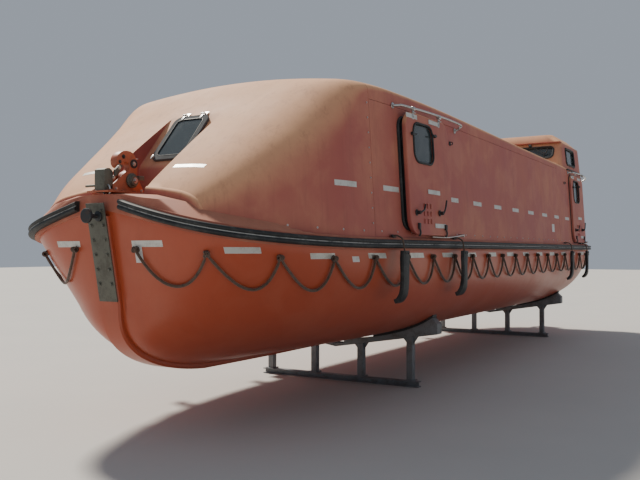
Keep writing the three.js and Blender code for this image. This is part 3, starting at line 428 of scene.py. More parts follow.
def makeGrime():  # blotches of dirt or rust over any colour
    group, given, out = newGroup("grime", [
        ("Base", colourKind, (0.5, 0.5, 0.5, 1)), ("Dirt", colourKind, (0.1, 0.08, 0.06, 1)),
        ("Scale", valueKind, 8.0), ("Amount", valueKind, 0.4), ("Smooth", valueKind, 0.4)],
        [("Color", colourKind), ("Roughness", valueKind), ("Height", valueKind), ("Mask", valueKind)])
    net = Net(group)
    place = net.objectPlace()
    coarse = net.noise(place, given.outputs["Scale"], detail=7.0, rough=0.65, distortion=0.3)
    fine = net.noise(place, net.math("MULTIPLY", given.outputs["Scale"], 9.0), detail=4.0, rough=0.6)
    both = net.sum(coarse, 0.7, fine, 0.3)
    mask = net.math("MULTIPLY", net.step(both, 0.46, 0.62), given.outputs["Amount"], clamp=True)
    colour = net.mix(mask, given.outputs["Base"], given.outputs["Dirt"])
    rough = net.math("ADD", given.outputs["Smooth"], net.math("MULTIPLY", both, 0.3), clamp=True)
    net.put(out.inputs["Color"], colour)
    net.put(out.inputs["Roughness"], rough)
    net.put(out.inputs["Height"], both)
    net.put(out.inputs["Mask"], mask)
    return group


groups = {"fadedAndSunlit": makeFadedAndSunlit(), "wornEdge": makeWornEdge(), "grime": makeGrime()}


def newFinish(name, constants=()):
    material = bpy.data.materials.new(name)
    material.use_nodes = True
    shader = material.node_tree.nodes["Principled BSDF"]
    for key, value in dict(constants).items():
        shader.inputs[key].default_value = value
    return material, Net(material.node_tree), shader


def useGroup(net, name, **inputs):
    node = net.tree.nodes.new("ShaderNodeGroup")
    node.node_tree = groups[name]
    for key, value in inputs.items():
        net.put(node.inputs[key], value)
    return node


def bumped(net, shader, height, strength, distance):
    bump = net.add("ShaderNodeBump", Strength=strength, Distance=distance, Height=height)
    net.put(shader.inputs["Normal"], bump.outputs["Normal"])


def grimed(net, shader, settings):  # colour and roughness under blotches of dirt
    dirty = useGroup(net, "grime", Base=settings["base"], Dirt=settings["dirt"], Scale=settings["scale"],
                     Amount=settings["amount"], Smooth=settings["smooth"])
    net.put(shader.inputs["Base Color"], dirty.outputs["Color"])
    net.put(shader.inputs["Roughness"], dirty.outputs["Roughness"])
    return dirty


def paintFinish(name, settings):
    material, net, shader = newFinish(name)
    # the lighter colour on faces turned up is part real chalking and part painted sunlight; faces turned down
    # stay darker as painted shade
    worn = useGroup(net, "fadedAndSunlit", Paint=settings["paint"], Chalk=settings["chalk"], Stain=settings["stain"],
                    Fade=settings["fade"], Streak=settings["streak"], Patch=settings["patch"],
                    Gloss=settings["rough"], Seed=settings["seed"])
    net.put(shader.inputs["Base Color"], worn.outputs["Color"])
    net.put(shader.inputs["Roughness"], worn.outputs["Roughness"])
    bumped(net, shader, worn.outputs["Height"], 0.5, settings["wave"])
    return material


def metalFinish(name, settings):
    material, net, shader = newFinish(name, {
        "Metallic": settings["metal"], "Specular IOR Level": settings.get("specular", 0.5)})
    dirty = grimed(net, shader, settings)
    edge = useGroup(net, "wornEdge", Radius=0.003, Amount=settings.get("worn", 0.6))
    colour = net.mix(edge.outputs["Mask"], dirty.outputs["Color"], settings["bare"])
    net.put(shader.inputs["Base Color"], colour)
    bumped(net, shader, dirty.outputs["Height"], 0.35, 0.0015)
    return material


# the lighter colour of faces turned to the sky is sun chalking with painted sunlight in it, strongest on the
# canopy
paints = {
    "hull": {"paint": (0.42, 0.075, 0.032, 1), "chalk": (0.52, 0.17, 0.1, 1), "stain": (0.23, 0.05, 0.025, 1),
             "fade": 0.5, "streak": 0.16, "patch": 0.16, "rough": 0.34, "wave": 0.014, "seed": 0.0},
    "canopy": {"paint": (0.36, 0.085, 0.07, 1), "chalk": (0.76, 0.41, 0.22, 1), "stain": (0.2, 0.06, 0.05, 1),
               "fade": 0.95, "streak": 0.3, "patch": 0.14, "rough": 0.52, "wave": 0.02, "seed": 3.0},
    "deck": {"paint": (0.38, 0.105, 0.065, 1), "chalk": (0.5, 0.22, 0.14, 1), "stain": (0.14, 0.06, 0.045, 1),
             "fade": 0.6, "streak": 0.2, "patch": 0.5, "rough": 0.6, "wave": 0.012, "seed": 9.0},
    "liner": {"paint": (0.6, 0.57, 0.5, 1), "chalk": (0.68, 0.66, 0.6, 1), "stain": (0.3, 0.27, 0.22, 1),
              "fade": 0.3, "streak": 0.25, "patch": 0.2, "rough": 0.5, "wave": 0.012, "seed": 5.0},
}
hullPaint = paintFinish("hullPaint", paints["hull"])
canopyPaint = paintFinish("canopyPaint", paints["canopy"])
deckPaint = paintFinish("deckPaint", paints["deck"])
linerPaint = paintFinish("linerPaint", paints["liner"])

metals = {
    "plate": {"base": (0.125, 0.125, 0.103, 1), "dirt": (0.07, 0.062, 0.05, 1), "bare": (0.28, 0.28, 0.26, 1),
              "scale": 7.0, "amount": 0.6, "smooth": 0.42, "metal": 0.35},
    "darkSteel": {"base": (0.035, 0.04, 0.045, 1), "dirt": (0.09, 0.045, 0.028, 1), "bare": (0.25, 0.25, 0.25, 1),
                  "scale": 16.0, "amount": 0.45, "smooth": 0.36, "metal": 0.5},
    "galvanised": {"base": (0.2, 0.21, 0.22, 1), "dirt": (0.11, 0.1, 0.09, 1), "bare": (0.42, 0.42, 0.42, 1),
                   "scale": 9.0, "amount": 0.6, "smooth": 0.42, "metal": 0.55},
    "hatchFrame": {"base": (0.085, 0.09, 0.095, 1), "dirt": (0.05, 0.05, 0.048, 1), "bare": (0.26, 0.27, 0.27, 1),
                   "scale": 9.0, "amount": 0.5, "smooth": 0.72, "metal": 0.0, "specular": 0.2, "worn": 0.2},
    "stainless": {"base": (0.55, 0.55, 0.54, 1), "dirt": (0.22, 0.2, 0.17, 1), "bare": (0.75, 0.75, 0.75, 1),
                  "scale": 20.0, "amount": 0.35, "smooth": 0.2, "metal": 1.0},
    "hookPaint": {"base": (0.44, 0.11, 0.05, 1), "dirt": (0.17, 0.06, 0.042, 1), "bare": (0.22, 0.2, 0.18, 1),
                  "scale": 14.0, "amount": 0.45, "smooth": 0.34, "metal": 0.0},
    "bronze": {"base": (0.42, 0.25, 0.09, 1), "dirt": (0.12, 0.14, 0.08, 1), "bare": (0.7, 0.46, 0.2, 1),
               "scale": 12.0, "amount": 0.5, "smooth": 0.24, "metal": 0.95},
    "engine": {"base": (0.1, 0.13, 0.12, 1), "dirt": (0.05, 0.045, 0.04, 1), "bare": (0.3, 0.3, 0.28, 1),
               "scale": 6.0, "amount": 0.5, "smooth": 0.4, "metal": 0.3},
}
plateSteel = metalFinish("plateSteel", metals["plate"])
darkSteel = metalFinish("darkSteel", metals["darkSteel"])
galvanised = metalFinish("galvanised", metals["galvanised"])
hatchSteel = metalFinish("hatchSteel", metals["hatchFrame"])
stainless = metalFinish("stainless", metals["stainless"])
hookPaint = metalFinish("hookPaint", metals["hookPaint"])
bronzeFinish = metalFinish("bronzeFinish", metals["bronze"])
enginePaint = metalFinish("enginePaint", metals["engine"])


coverings = {
    "rubber": {"base": (0.016, 0.018, 0.02, 1), "dirt": (0.075, 0.078, 0.078, 1), "scale": 5.0, "amount": 0.55,
               "smooth": 0.42, "specular": 0.4, "bump": (0.3, 0.002)},
    "fenderLine": {"base": (0.3, 0.31, 0.31, 1), "dirt": (0.03, 0.033, 0.035, 1), "scale": 3.2, "amount": 0.95,
                   "smooth": 0.45, "specular": 0.4},
    "rope": {"base": (0.115, 0.075, 0.055, 1), "dirt": (0.045, 0.032, 0.027, 1), "scale": 30.0, "amount": 0.7,
             "smooth": 0.6, "specular": 0.2, "sheen": 0.3, "bump": (0.6, 0.002)},
    "label": {"base": (0.62, 0.62, 0.62, 1), "dirt": (0.35, 0.33, 0.3, 1), "scale": 12.0, "amount": 0.4,
              "smooth": 0.35, "specular": 0.4},
}


def coveringFinish(name, settings):  # one plain colour under its dirt
    material, net, shader = newFinish(name, {
        "Specular IOR Level": settings["specular"], "Sheen Weight": settings.get("sheen", 0.0)})
    dirty = grimed(net, shader, settings)
    if "bump" in settings:
        bumped(net, shader, dirty.outputs["Height"], *settings["bump"])
    return material


blackRubber = coveringFinish("blackRubber", coverings["rubber"])
fenderLine = coveringFinish("fenderLine", coverings["fenderLine"])  # worn through in places
ropeFibre = coveringFinish("ropeFibre", coverings["rope"])
blankLabel = coveringFinish("blankLabel", coverings["label"])

glass = {"base": (0.1, 0.125, 0.135, 1), "dirt": (0.3, 0.32, 0.32, 1), "scale": 4.0, "amount": 0.25,
         "smooth": 0.02, "shine": 0.35}


def glassFinish():  # dark tinted pane, read as opaque gloss with a little depth
    material, net, shader = newFinish("tintedGlass",
                                      {"Specular IOR Level": 0.7, "Transmission Weight": 0.55, "IOR": 1.5})
    dirty = grimed(net, shader, glass)
    net.put(shader.inputs["Roughness"], net.math("MULTIPLY", dirty.outputs["Roughness"], glass["shine"]))
    return material


tape = {"base": (0.56, 0.56, 0.53, 1), "dirt": (0.3, 0.27, 0.23, 1), "scale": 9.0, "amount": 0.5, "smooth": 0.25,
        "cells": 110.0, "cellEdge": 0.09, "cellGlint": 0.18, "glint": (0.75, 0.76, 0.74, 1)}


def tapeFinish():  # silver retro-reflective tape with its small cells
    material, net, shader = newFinish("reflectiveTape",
                                      {"Metallic": 0.25, "Specular IOR Level": 0.6})
    cells = net.add("ShaderNodeTexVoronoi", {"feature": "DISTANCE_TO_EDGE"}, Vector=net.objectPlace(),
                    Scale=tape["cells"], Randomness=0.15)
    line = net.step(cells.outputs["Distance"], 0.0, tape["cellEdge"])
    dirty = grimed(net, shader, tape)
    colour = net.mix(net.math("MULTIPLY", line, tape["cellGlint"]), dirty.outputs["Color"], tape["glint"])
    net.put(shader.inputs["Base Color"], colour)
    bumped(net, shader, line, 0.25, 0.0004)
    return material


tintedGlass, reflectiveTape = glassFinish(), tapeFinish()
print("finishes made")


# Hull form, as the frame has it but with finer sections

hull = {"stemX": 6.09, "length": 12.3, "railHalf": 1.655, "railZ": 1.67, "railRise": 0.33, "keelZ": 0.5,
        "keelDepth": 0.045, "bowEntry": 4.2, "sternRun": 1.9, "stemHalf": 0.145, "keelHalf": 0.105,
        "knuckleZ": 1.14, "stemRake": 0.17, "forefoot": 1.3, "sternRake": 2.4, "straightTo": 9.15,
        "levelBy": 1.56, "flange": 0.06, "shell": 0.03, "rimInset": 0.014, "deckInset": 0.012, "deckEdge": 0.007,
        "bowBlunt": (0.85, 0.245, 1.3), "sternBlunt": (0.5, 0.245, 0.6), "crownFrom": 0.7, "crownRun": 0.55,
        "bowSteps": 46, "midSteps": 18, "sternSteps": 40, "levels": 30, "endCrowding": 1.6}
hullFoot, stemHead = hull["keelZ"] + hull["keelDepth"], hull["railZ"] + hull["railRise"]


def at(s, y, z):
    return Vector((hull["stemX"] - s, y, z))


def mix(a, b, t):
    return a + (b - a) * t


def clamped(t):
    return min(1.0, max(0.0, t))


def railRise(y):  # the rail climbs where the plan narrows
    full = hull["levelBy"]
    return hull["railRise"] * max(0.0, (full - y) / (full - hull["stemHalf"])) ** 1.25


def stemProfile(z):  # distance aft of the stem face on the centreline
    knuckle, rake = hull["knuckleZ"], hull["stemRake"]
    if z >= knuckle:
        return max(0.0, rake * (stemHead - z) / (stemHead - knuckle))
    t = min(1.0, (knuckle - z) / (knuckle - hullFoot))
    return rake + hull["forefoot"] * (1 - math.sqrt(max(0.0, 1 - t**2.6)))


def sternProfile(z):  # distance forward of the stern face
    t = clamped((hull["railZ"] - z) / (hull["railZ"] - hullFoot))
    return hull["rimInset"] + hull["sternRake"] * (1 - math.sqrt(max(0.0, 1 - t**1.3)))


def midship(v):  # half breadth and height, v going from the keel to the rail
    low, high = hullFoot, hull["railZ"] - hull["flange"]
    b = hull["railHalf"] - hull["shell"]
    corners = [(hull["keelHalf"], low), (0.76 * b, mix(low, high, 0.1)), (b, mix(low, high, 0.36)), (b, high)]
    weights = [(1 - v) ** 3, 3 * v * (1 - v) ** 2, 3 * v * v * (1 - v), v**3]
    return [sum(w * c[i] for w, c in zip(weights, corners)) for i in range(2)]


def levelPoint(station, half, z, full):  # plan of the hull at one height, fuller towards the rail
    end, value = station
    if end == "mid":
        return value, half
    a = math.radians(value)
    atKeel, atRail, fade = hull["bowBlunt" if end == "bow" else "sternBlunt"]
    bluntness = 2 * mix(atKeel, atRail, full**fade)
    narrow = mix(hull["keelHalf"], hull["stemHalf"], full)
    y = narrow + (half - narrow) * math.sin(a) ** bluntness
    along = 1 - math.cos(a) ** 0.8
    if end == "bow":
        start = stemProfile(z)
        return start + (hull["bowEntry"] - start) * along, y
    start = sternProfile(z)
    return hull["length"] - start - max(0.0, hull["sternRun"] - start * 0.5) * along, y


def railPoint(station, out=0.0, up=0.0):
    s, y = levelPoint(station, hull["railHalf"] + out, stemHead, 1)
    if station[0] == "mid":
        return s, y, hull["railZ"] + up
    along = out * math.cos(math.radians(station[1]))
    s = s + hull["rimInset"] + along if station[0] == "stern" else s - along
    return s, y, hull["railZ"] + railRise(y - out) + up


def hullPoint(station, v):
    half, z = midship(v)
    z += (railPoint(station, -hull["shell"])[2] - hull["railZ"]) * v**3
    s, y = levelPoint(station, half, z, v)
    return s, y, z


def crownAt(s, edge):  # how far the centreline stands above the edge, near the ends
    t = clamped((min(s, hull["length"] - s) - hull["crownFrom"]) / hull["crownRun"])
    return (stemHead - edge) * (1 - t * t * (3 - 2 * t))


def fineStations():  # closest together at the ends
    crowding, n = hull["endCrowding"], hull["sternSteps"]
    bow = [("bow", 90 * (i / hull["bowSteps"]) ** crowding) for i in range(hull["bowSteps"] + 1)]
    middle = [("mid", mix(hull["bowEntry"], hull["straightTo"], i / hull["midSteps"]))
              for i in range(1, hull["midSteps"] + 1)]
    stern = [("stern", 90 * ((n - i) / n) ** crowding) for i in range(n + 1)]
    return bow + middle + stern


stations = fineStations()
levels = [i / hull["levels"] for i in range(hull["levels"] + 1)]


def withStarboard(side, middle=()):
    return side + list(middle) + [Vector((p.x, -p.y, p.z)) for p in reversed(side)]


def hullRing(station):
    side = [at(*hullPoint(station, v)) for v in levels]
    top = side[-1] + Vector((0, 0, 0.02))  # tucked under the ledge
    crown = crownAt(hull["stemX"] - top.x, top.z + 0.04)
    return withStarboard(side + [top], [Vector((top.x, 0, top.z + crown))])


def block(s0, y0, z0, s1, y1, z1):
    return boxBetween(at(s0, y0, z0), at(s1, y1, z1), 0)


well = {"half": 1.33, "from": 1.25, "to": 11.15, "bench": 1.48, "aisle": 0.78, "floor": 1.05, "open": 2.6}


def makeHull():
    body = makeObject("hullShell", skin([hullRing(st) for st in stations]), hullPaint)
    tree = treeOf(body)
    first, last, half, aisle, top = (well[key] for key in ("from", "to", "half", "aisle", "open"))
    room = block(first, -half, well["bench"], last, half, top)
    walkway = block(first + 0.15, -aisle, well["floor"], last - 0.25, aisle, top)
    carve(body, [room, walkway], linerPaint)
    settle(body, replaces=["hull"])
    return tree


hullTree = makeHull()


def deckRing(station):
    out, edge = -hull["deckInset"], hull["deckEdge"]
    low, high = railPoint(station, out, -hull["flange"]), railPoint(station, out, hull["flange"])
    crown = crownAt(low[0], low[2] + hull["flange"])
    inside = railPoint(station, out - edge, hull["flange"])
    mid = railPoint(station, out - edge * 0.3, hull["flange"] - edge * 0.3)
    side = [at(*low), at(high[0], high[1], high[2] - edge), at(*mid), at(*inside)]
    top = [Vector((side[-1].x, inside[1] * k, mix(high[2] + crown, high[2], k**4))) for k in (0.75, 0.45, 0.2)]
    under = Vector((side[0].x, 0, low[2] + crown))
    ring = side + top + [Vector((side[-1].x, 0, high[2] + crown))]
    return ring + [Vector((p.x, -p.y, p.z)) for p in reversed(side + top)] + [under]


def makeDeck():
    body = makeObject("deckLedge", skin([deckRing(st) for st in stations]), deckPaint)
    opening = block(well["from"], -well["half"], 1.0, well["to"], well["half"], well["open"])
    carve(body, [opening], linerPaint)
    settle(body, replaces=["deck"])


makeDeck()

fender = {"half": 0.042, "depth": 0.055, "lineHalf": 0.008, "line": (0.03, 0.0425, 0.0445)}


def fenderSection():
    h, d = fender["half"], fender["depth"]

    def lobe(start, rise):
        angles = [math.radians(start + 160 * k / 8) for k in range(9)]
        return [(d * 0.62 + d * 0.38 * math.cos(a), rise + h * 0.44 * math.sin(a)) for a in angles]

    return [(0, -h)] + lobe(-100, -h * 0.52) + [(d * 0.74, 0)] + lobe(-60, h * 0.52) + [(0, h)]


def alongRail(section):  # section of (out, up) swept along the port fender line
    line = [railPoint(st, -hull["deckInset"]) for st in stations[1:-1]]
    rings = []
    for i, p in enumerate(line):
        a, b = line[max(0, i - 1)], line[min(len(line) - 1, i + 1)]
        along = (at(*b) - at(*a)) * Vector((1, 1, 0))
        out = Vector((along.y, -along.x, 0)).normalized()
        if out.y < 0:
            out.negate()
        rings.append([at(*p) + out * (d + 0.0005) + Vector((0, 0, up)) for d, up in section])
    return skin(rings)


def makeFenders():
    h, (inner, edge, face) = fender["lineHalf"], fender["line"]
    rubber = alongRail(fenderSection())
    strip = alongRail([(inner, -h), (edge, -h), (face, 0), (edge, h), (inner, h)])
    for label, side in sides:
        piece("fender" + label.capitalize(), handed(rubber, side), blackRubber, replaces=["fender_" + label])
    for label, side in sides:
        piece("fenderLine" + label.capitalize(), handed(strip, side), fenderLine)


makeFenders()

keel = {"propellerS": 11.76, "propellerZ": 0.79, "skegEnd": 11.52, "stockS": 12.04, "flat": (2.2, 9.2),
        "runFrom": 9.25, "deepFrom": 6.0, "bowHalf": 0.1, "sternHalf": 0.055, "narrows": (3.0, 7.0),
        "edge": 0.014, "sunk": 0.01}


def makeKeel():
    head = [hullPoint(stations[0], 0.985 * (1 - i / 44)) for i in range(44)]
    run = [hullPoint(stations[-1], i / 40) for i in range(41)]
    line = [(p[0], p[2]) for p in head] + [(mix(*keel["flat"], i / 12), hullFoot) for i in range(13)]
    line += [(p[0], p[2]) for p in run if keel["runFrom"] < p[0] < keel["skegEnd"]]
    first, last = keel["narrows"]
    rings = []
    for i, (s, z) in enumerate(line):
        a, b = line[max(0, i - 1)], line[min(len(line) - 1, i + 1)]
        length = math.hypot(b[0] - a[0], b[1] - a[1])
        n = ((b[1] - a[1]) / length, -(b[0] - a[0]) / length)
        edge, sunk, depth = keel["edge"], keel["sunk"], hull["keelDepth"]
        half = mix(keel["bowHalf"], keel["sternHalf"], clamped((s - first) / (last - first)))
        inner = (s - n[0] * sunk, z - n[1] * sunk)
        if s > keel["deepFrom"]:  # the skeg's foot stays level
            outer, near = (s, hull["keelZ"]), (s, hull["keelZ"] + edge)
        else:
            outer = (s + n[0] * depth, z + n[1] * depth)
            near = (mix(outer[0], inner[0], 0.3), mix(outer[1], inner[1], 0.3))
        side = [at(inner[0], half, inner[1]), at(near[0], half, near[1]), at(outer[0], half - edge, outer[1])]
        rings.append(withStarboard(side))
    boss = placed(turned([(0, 0), (0.06, 0), (0.062, 0.02), (0.062, 0.22), (0.05, 0.24), (0, 0.24)], 32),
                  basis(at(keel["skegEnd"] + 0.06, 0, keel["propellerZ"]), (0, 0, 1), (1, 0, 0)))
    shoe = boxBetween(at(11.32, -0.045, 0.466), at(12.1, 0.045, 0.506), 0.01)
    piece("keelBand", combine(skin(rings), boss, shoe), hullPaint, replaces=["keel"])


makeKeel()
print("hull made")


# Canopy form

canopy = {"wall": 0.04, "inset": 0.048, "nose": 0.2, "sternGap": 0.33, "tumblehome": 0.06,
          "bowSeam": 1.94, "sternSeam": 8.9, "sideSplit": 3.02, "foot": 1.69, "ledgeTaper": 1.5,
          "bowLedge": 0.15, "sternLedge": 0.055, "seam": 0.002, "roll": 0.035, "wallSteps": 14, "arcSteps": 12,
          "roofSteps": 8, "hollowLow": 1.6}
roofTable = [  # s, height on the centreline, shoulder radius, camber
    (0.2, 2.105, 0.12, 0.11), (0.24, 2.148, 0.16, 0.11), (0.29, 2.19, 0.2, 0.1), (0.52, 2.366, 0.32, 0.06),
    (0.8, 2.579, 0.44, 0.04), (1.195, 2.87, 0.48, 0.04), (1.45, 3.066, 0.44, 0.06), (1.65, 3.215, 0.3, 0.09),
    (1.8, 3.292, 0.16, 0.12), (1.94, 3.32, 0.08, 0.146), (2.3, 3.33, 0.05, 0.15), (8.9, 3.275, 0.06, 0.15),
    (11.25, 3.265, 0.07, 0.15), (11.55, 2.95, 0.22, 0.15), (11.8, 2.45, 0.2, 0.12), (11.97, 2.15, 0.06, 0.017)]
railLine = [railPoint(st) for st in stations]


def railAt(s):
    i = max(1, next((k for k, p in enumerate(railLine) if p[0] >= s), len(railLine) - 1))
    a, b = railLine[i - 1], railLine[i]
    t = (s - a[0]) / (b[0] - a[0])
    return mix(a[1], b[1], t), mix(a[2], b[2], t)


def canopyFoot(s):
    nearBow = max(0.0, 1 - s / canopy["ledgeTaper"])
    nearStern = max(0.0, 1 - (hull["length"] - s) / canopy["ledgeTaper"])
    return railAt(s)[0] - canopy["inset"] - canopy["bowLedge"] * nearBow - canopy["sternLedge"] * nearStern


def roofRise(k, column):  # slope from row k of the table to the next
    here, after = roofTable[k], roofTable[k + 1]
    return (after[column] - here[column]) / (after[0] - here[0])


def roofSlope(k, column):  # slope of the curve at row k, level where the table turns
    if k in (0, len(roofTable) - 1):
        return roofRise(max(0, k - 1), column)
    a, b = roofRise(k - 1, column), roofRise(k, column)
    return 0.0 if a * b <= 0 else 2 * a * b / (a + b)


def roofAt(s):  # height, shoulder radius and camber: a smooth curve that never overshoots the table
    last = len(roofTable) - 1
    i = max(0, next((k for k, row in enumerate(roofTable) if row[0] >= s), last) - 1)
    s0, s1 = roofTable[i][0], roofTable[i + 1][0]
    t, h = clamped((s - s0) / (s1 - s0)), s1 - s0
    out = []
    for column in (1, 2, 3):
        a, b = roofTable[i][column], roofTable[i + 1][column]
        m0, m1 = roofSlope(i, column), roofSlope(i + 1, column)
        out.append(a * (2 * t**3 - 3 * t**2 + 1) + h * m0 * (t**3 - 2 * t**2 + t)
                   + b * (-2 * t**3 + 3 * t**2) + h * m1 * (t**3 - t**2))
    return out


def canopySide(s, inset, low=None):  # port half of the section, (y, z) from the foot to the centreline
    top, radius, camber = roofAt(s)
    base, lean, walls = canopy["foot"], canopy["tumblehome"], canopy["wallSteps"]
    half = canopyFoot(s) - inset
    centre = top - inset
    edgeZ = centre - camber
    edgeY = half - lean * (edgeZ - base)
    r = min(radius, (edgeZ - base) * 0.8)
    start = (edgeY + lean * r, edgeZ - r)
    endY = edgeY - min(r * 1.5, half * 0.6)
    end = (endY, centre - camber * (endY / edgeY) ** 2)
    low = base if low is None else low
    out = [(mix(half, start[0], i / walls), mix(base, start[1], i / walls)) for i in range(walls)]
    out[0] = (half + lean * (base - low), low)
    for t in [k / canopy["arcSteps"] for k in range(canopy["arcSteps"] + 1)]:  # shoulder
        out.append(tuple((1 - t) ** 2 * a + 2 * t * (1 - t) * b + t * t * c
                         for a, b, c in zip(start, (edgeY, edgeZ), end)))
    for k in range(1, canopy["roofSteps"] + 1):  # cambered roof
        t = 1 - k / canopy["roofSteps"]
        out.append((end[0] * t, centre - (centre - end[1]) * t * t))
    return out


def canopyRing(s, inset=0.0, low=None, place=None):
    side = [at(s if place is None else place, y, z) for y, z in canopySide(s, inset, low)]
    return withStarboard(side[:-1], side[-1:])


def stretch(s0, s1, step):
    n = max(1, round((s1 - s0) / step))
    return [mix(s0, s1, i / n) for i in range(n + 1)]


def rolled(s, inward):  # rings that roll a moulding's end over
    radius, steps, out = canopy["roll"], 6, []
    for k in range(steps + 1):
        a = math.radians(90 * k / steps)
        place = s + inward * radius * (1 - math.cos(a))
        out.append(canopyRing(s + inward * radius, radius * (1 - math.sin(a)), None, place))
    return out


def canopySolid(s0, s1, roll):  # a moulding rolled over at its start or at its end
    start, end = [], []
    if roll == "start":
        start = rolled(s0, 1)[:-1]
        s0 += canopy["roll"]
    else:
        end = rolled(s1, -1)[-2::-1]
        s1 -= canopy["roll"]
    return skin(start + [canopyRing(s) for s in stretch(s0, s1, 0.045)] + end)


def canopyHollow(s0, s1):
    return skin([canopyRing(s, canopy["wall"], canopy["hollowLow"]) for s in stretch(s0, s1, 0.045)])


def sideSlab(outline, y0, y1):  # outline of (s, z) in side view, swept across
    return skin([[at(s, y, z) for s, z in outline] for y in (y0, y1)])


alcoves = {
    "bow": {"foot": (0.8, 2.4), "top": (1.195, 2.867), "half": 0.205},
    "stern": {"foot": (0.8, 2.29), "top": (0.815, 2.9), "half": 0.24},
}
alcove = {"half": 0.3, "floor": 2.075, "lining": 0.03, "clear": 0.7, "corner": 0.018}


def fromEnd(end, d):
    return d if end == "bow" else hull["length"] - d


def alcoveOutline(end, grow=0.0):
    foot, top = alcoves[end]["foot"], alcoves[end]["top"]
    lean = (top[0] - foot[0]) / (top[1] - foot[1])
    corner, clear, floor = alcove["corner"], alcove["clear"], alcove["floor"] - grow
    back = foot[0] - lean * corner + grow
    outline = [(-0.1, floor), (back - 0.03, floor), (back - 0.02, foot[1] - 0.06), (back, foot[1] - corner),
               (top[0] + lean * clear + grow, top[1] + clear), (-0.1, top[1] + clear)]
    return [(fromEnd(end, d), z) for d, z in outline]


def backWall(end):  # matrix: X across to port, Y down the wall from the hatch's head, Z out of it
    foot, top = alcoves[end]["foot"], alcoves[end]["top"]
    head, low = at(fromEnd(end, top[0]), 0, top[1]), at(fromEnd(end, foot[0]), 0, foot[1])
    down = (low - head).normalized()
    out = Vector((0, 1, 0)).cross(down)
    if (1 if end == "bow" else -1) * out.x < 0:
        out.negate()
    m = Matrix((Vector((0, 1, 0)), down, out)).transposed().to_4x4()
    m.translation = head
    return m, (low - head).length


def hatchPlate(end, margin, half, low, high, radius=0.07):
    m, length = backWall(end)
    outline = roundedOutline(-half, margin, half, length - margin, radius)
    return placed(skin([[(x, y, w) for x, y in outline] for w in (low, high)]), m)


def carveAlcove(body, cavity, end):
    half = alcove["half"] + alcove["lining"]
    carve(cavity, [sideSlab(alcoveOutline(end, alcove["lining"]), -half, half)], linerPaint)
    carve(body, [cavity])
    niche = softened(sideSlab(alcoveOutline(end), -alcove["half"], alcove["half"]), alcove["corner"], 3)
    hole = hatchPlate(end, 0.045, alcoves[end]["half"] - 0.045, -0.12, 0.06)
    carve(body, [niche, hole], canopyPaint)


doorSize = {"width": 1.05, "height": 1.23, "thick": 0.046, "bottom": 1.762, "corner": 0.17, "inset": 0.07,
            "standOpen": 0.042, "standShut": 0.0005}
doors = [  # name, forward edge of the doorway, how far the door is slid aft, side
    ("forward_port", 2.4, 0.07, 1), ("forward_starboard", 2.4, 0.0, -1),
    ("aft_port", 9.78, 0.0, 1), ("aft_starboard", 9.78, 0.0, -1)]


def doorOutline(s, inset):
    low, high = doorSize["bottom"] + inset, doorSize["bottom"] + doorSize["height"] - inset
    return roundedOutline(s + inset, low, s + doorSize["width"] - inset, high, doorSize["corner"] - inset, 8)


def doorway(door):
    y0, y1 = (1.2, 1.9) if door[3] > 0 else (-1.9, -1.2)
    return sideSlab(doorOutline(door[1], doorSize["inset"]), y0, y1)


def panelLine(s, inset, upper):  # part of the section below or above the side seam
    line = canopySide(s, inset)
    split = canopy["sideSplit"] + (canopy["seam"] if upper else -canopy["seam"])
    foot, shoulder = line[0], line[canopy["wallSteps"]:]
    t = (split - foot[1]) / (shoulder[0][1] - foot[1])
    cross = (mix(foot[0], shoulder[0][0], t), split)
    if upper:
        return [cross] + shoulder
    return [tuple(mix(foot[k], cross[k], i / 24) for k in range(2)) for i in range(25)]


def panelRing(s, upper):
    outer, inner = [[at(s, y, z) for y, z in panelLine(s, inset, upper)] for inset in (0.0, canopy["wall"])]
    if upper:
        outer, inner = withStarboard(outer[:-1], outer[-1:]), withStarboard(inner[:-1], inner[-1:])
    return outer + inner[::-1]


def makeCanopy():
    seam, nose, end = canopy["seam"], canopy["nose"], hull["length"] - canopy["sternGap"]
    first, last = canopy["bowSeam"], canopy["sternSeam"]
    bow = makeObject("canopyBow", canopySolid(nose, first - seam, "start"), canopyPaint)
    carveAlcove(bow, makeObject("cavity", canopyHollow(nose + 0.06, first + 0.1), linerPaint), "bow")
    settle(bow, replaces=["canopy_bow"])
    places = stretch(first + seam, 2.8, 0.05) + stretch(2.8, last - seam, 0.3)[1:]  # closer on the curved part
    wall = skin([panelRing(s, False) for s in places])
    for label, side in sides:
        panel = makeObject("canopySide" + label.capitalize(), handed(wall, side), canopyPaint)
        carve(panel, [doorway(d) for d in doors if d[3] == side and d[1] < last])
        settle(panel, replaces=["canopy_side_" + label])
    piece("canopyRoof", skin([panelRing(s, True) for s in places]), canopyPaint, replaces=["canopy_roof"])
    stern = makeObject("canopyStern", canopySolid(last + seam, end, "end"), canopyPaint)
    carveAlcove(stern, makeObject("cavity", canopyHollow(last - 0.1, end - 0.06), linerPaint), "stern")
    hatchway = block(tower["front"] + 0.36, -1.0, 2.9, tower["aft"] - 0.16, 1.0, 3.7)  # up into the tower
    carve(stern, [hatchway] + [doorway(d) for d in doors if d[1] > last])
    settle(stern, replaces=["canopy_stern"])
    return BVHTree.FromPolygons(*skin([canopyRing(s) for s in stretch(nose, end, 0.05)]))


tower = {"front": 9.5, "frontTop": 9.8, "aft": 11.2, "half": 1.478, "halfTop": 1.42, "base": 3.05, "top": 3.6,
         "crown": 3.765, "crownHalf": 1.2, "corner": 0.1, "crownCorner": 0.12, "edge": 0.03}
canopyTree = makeCanopy()
print("canopy made")


# Steering tower

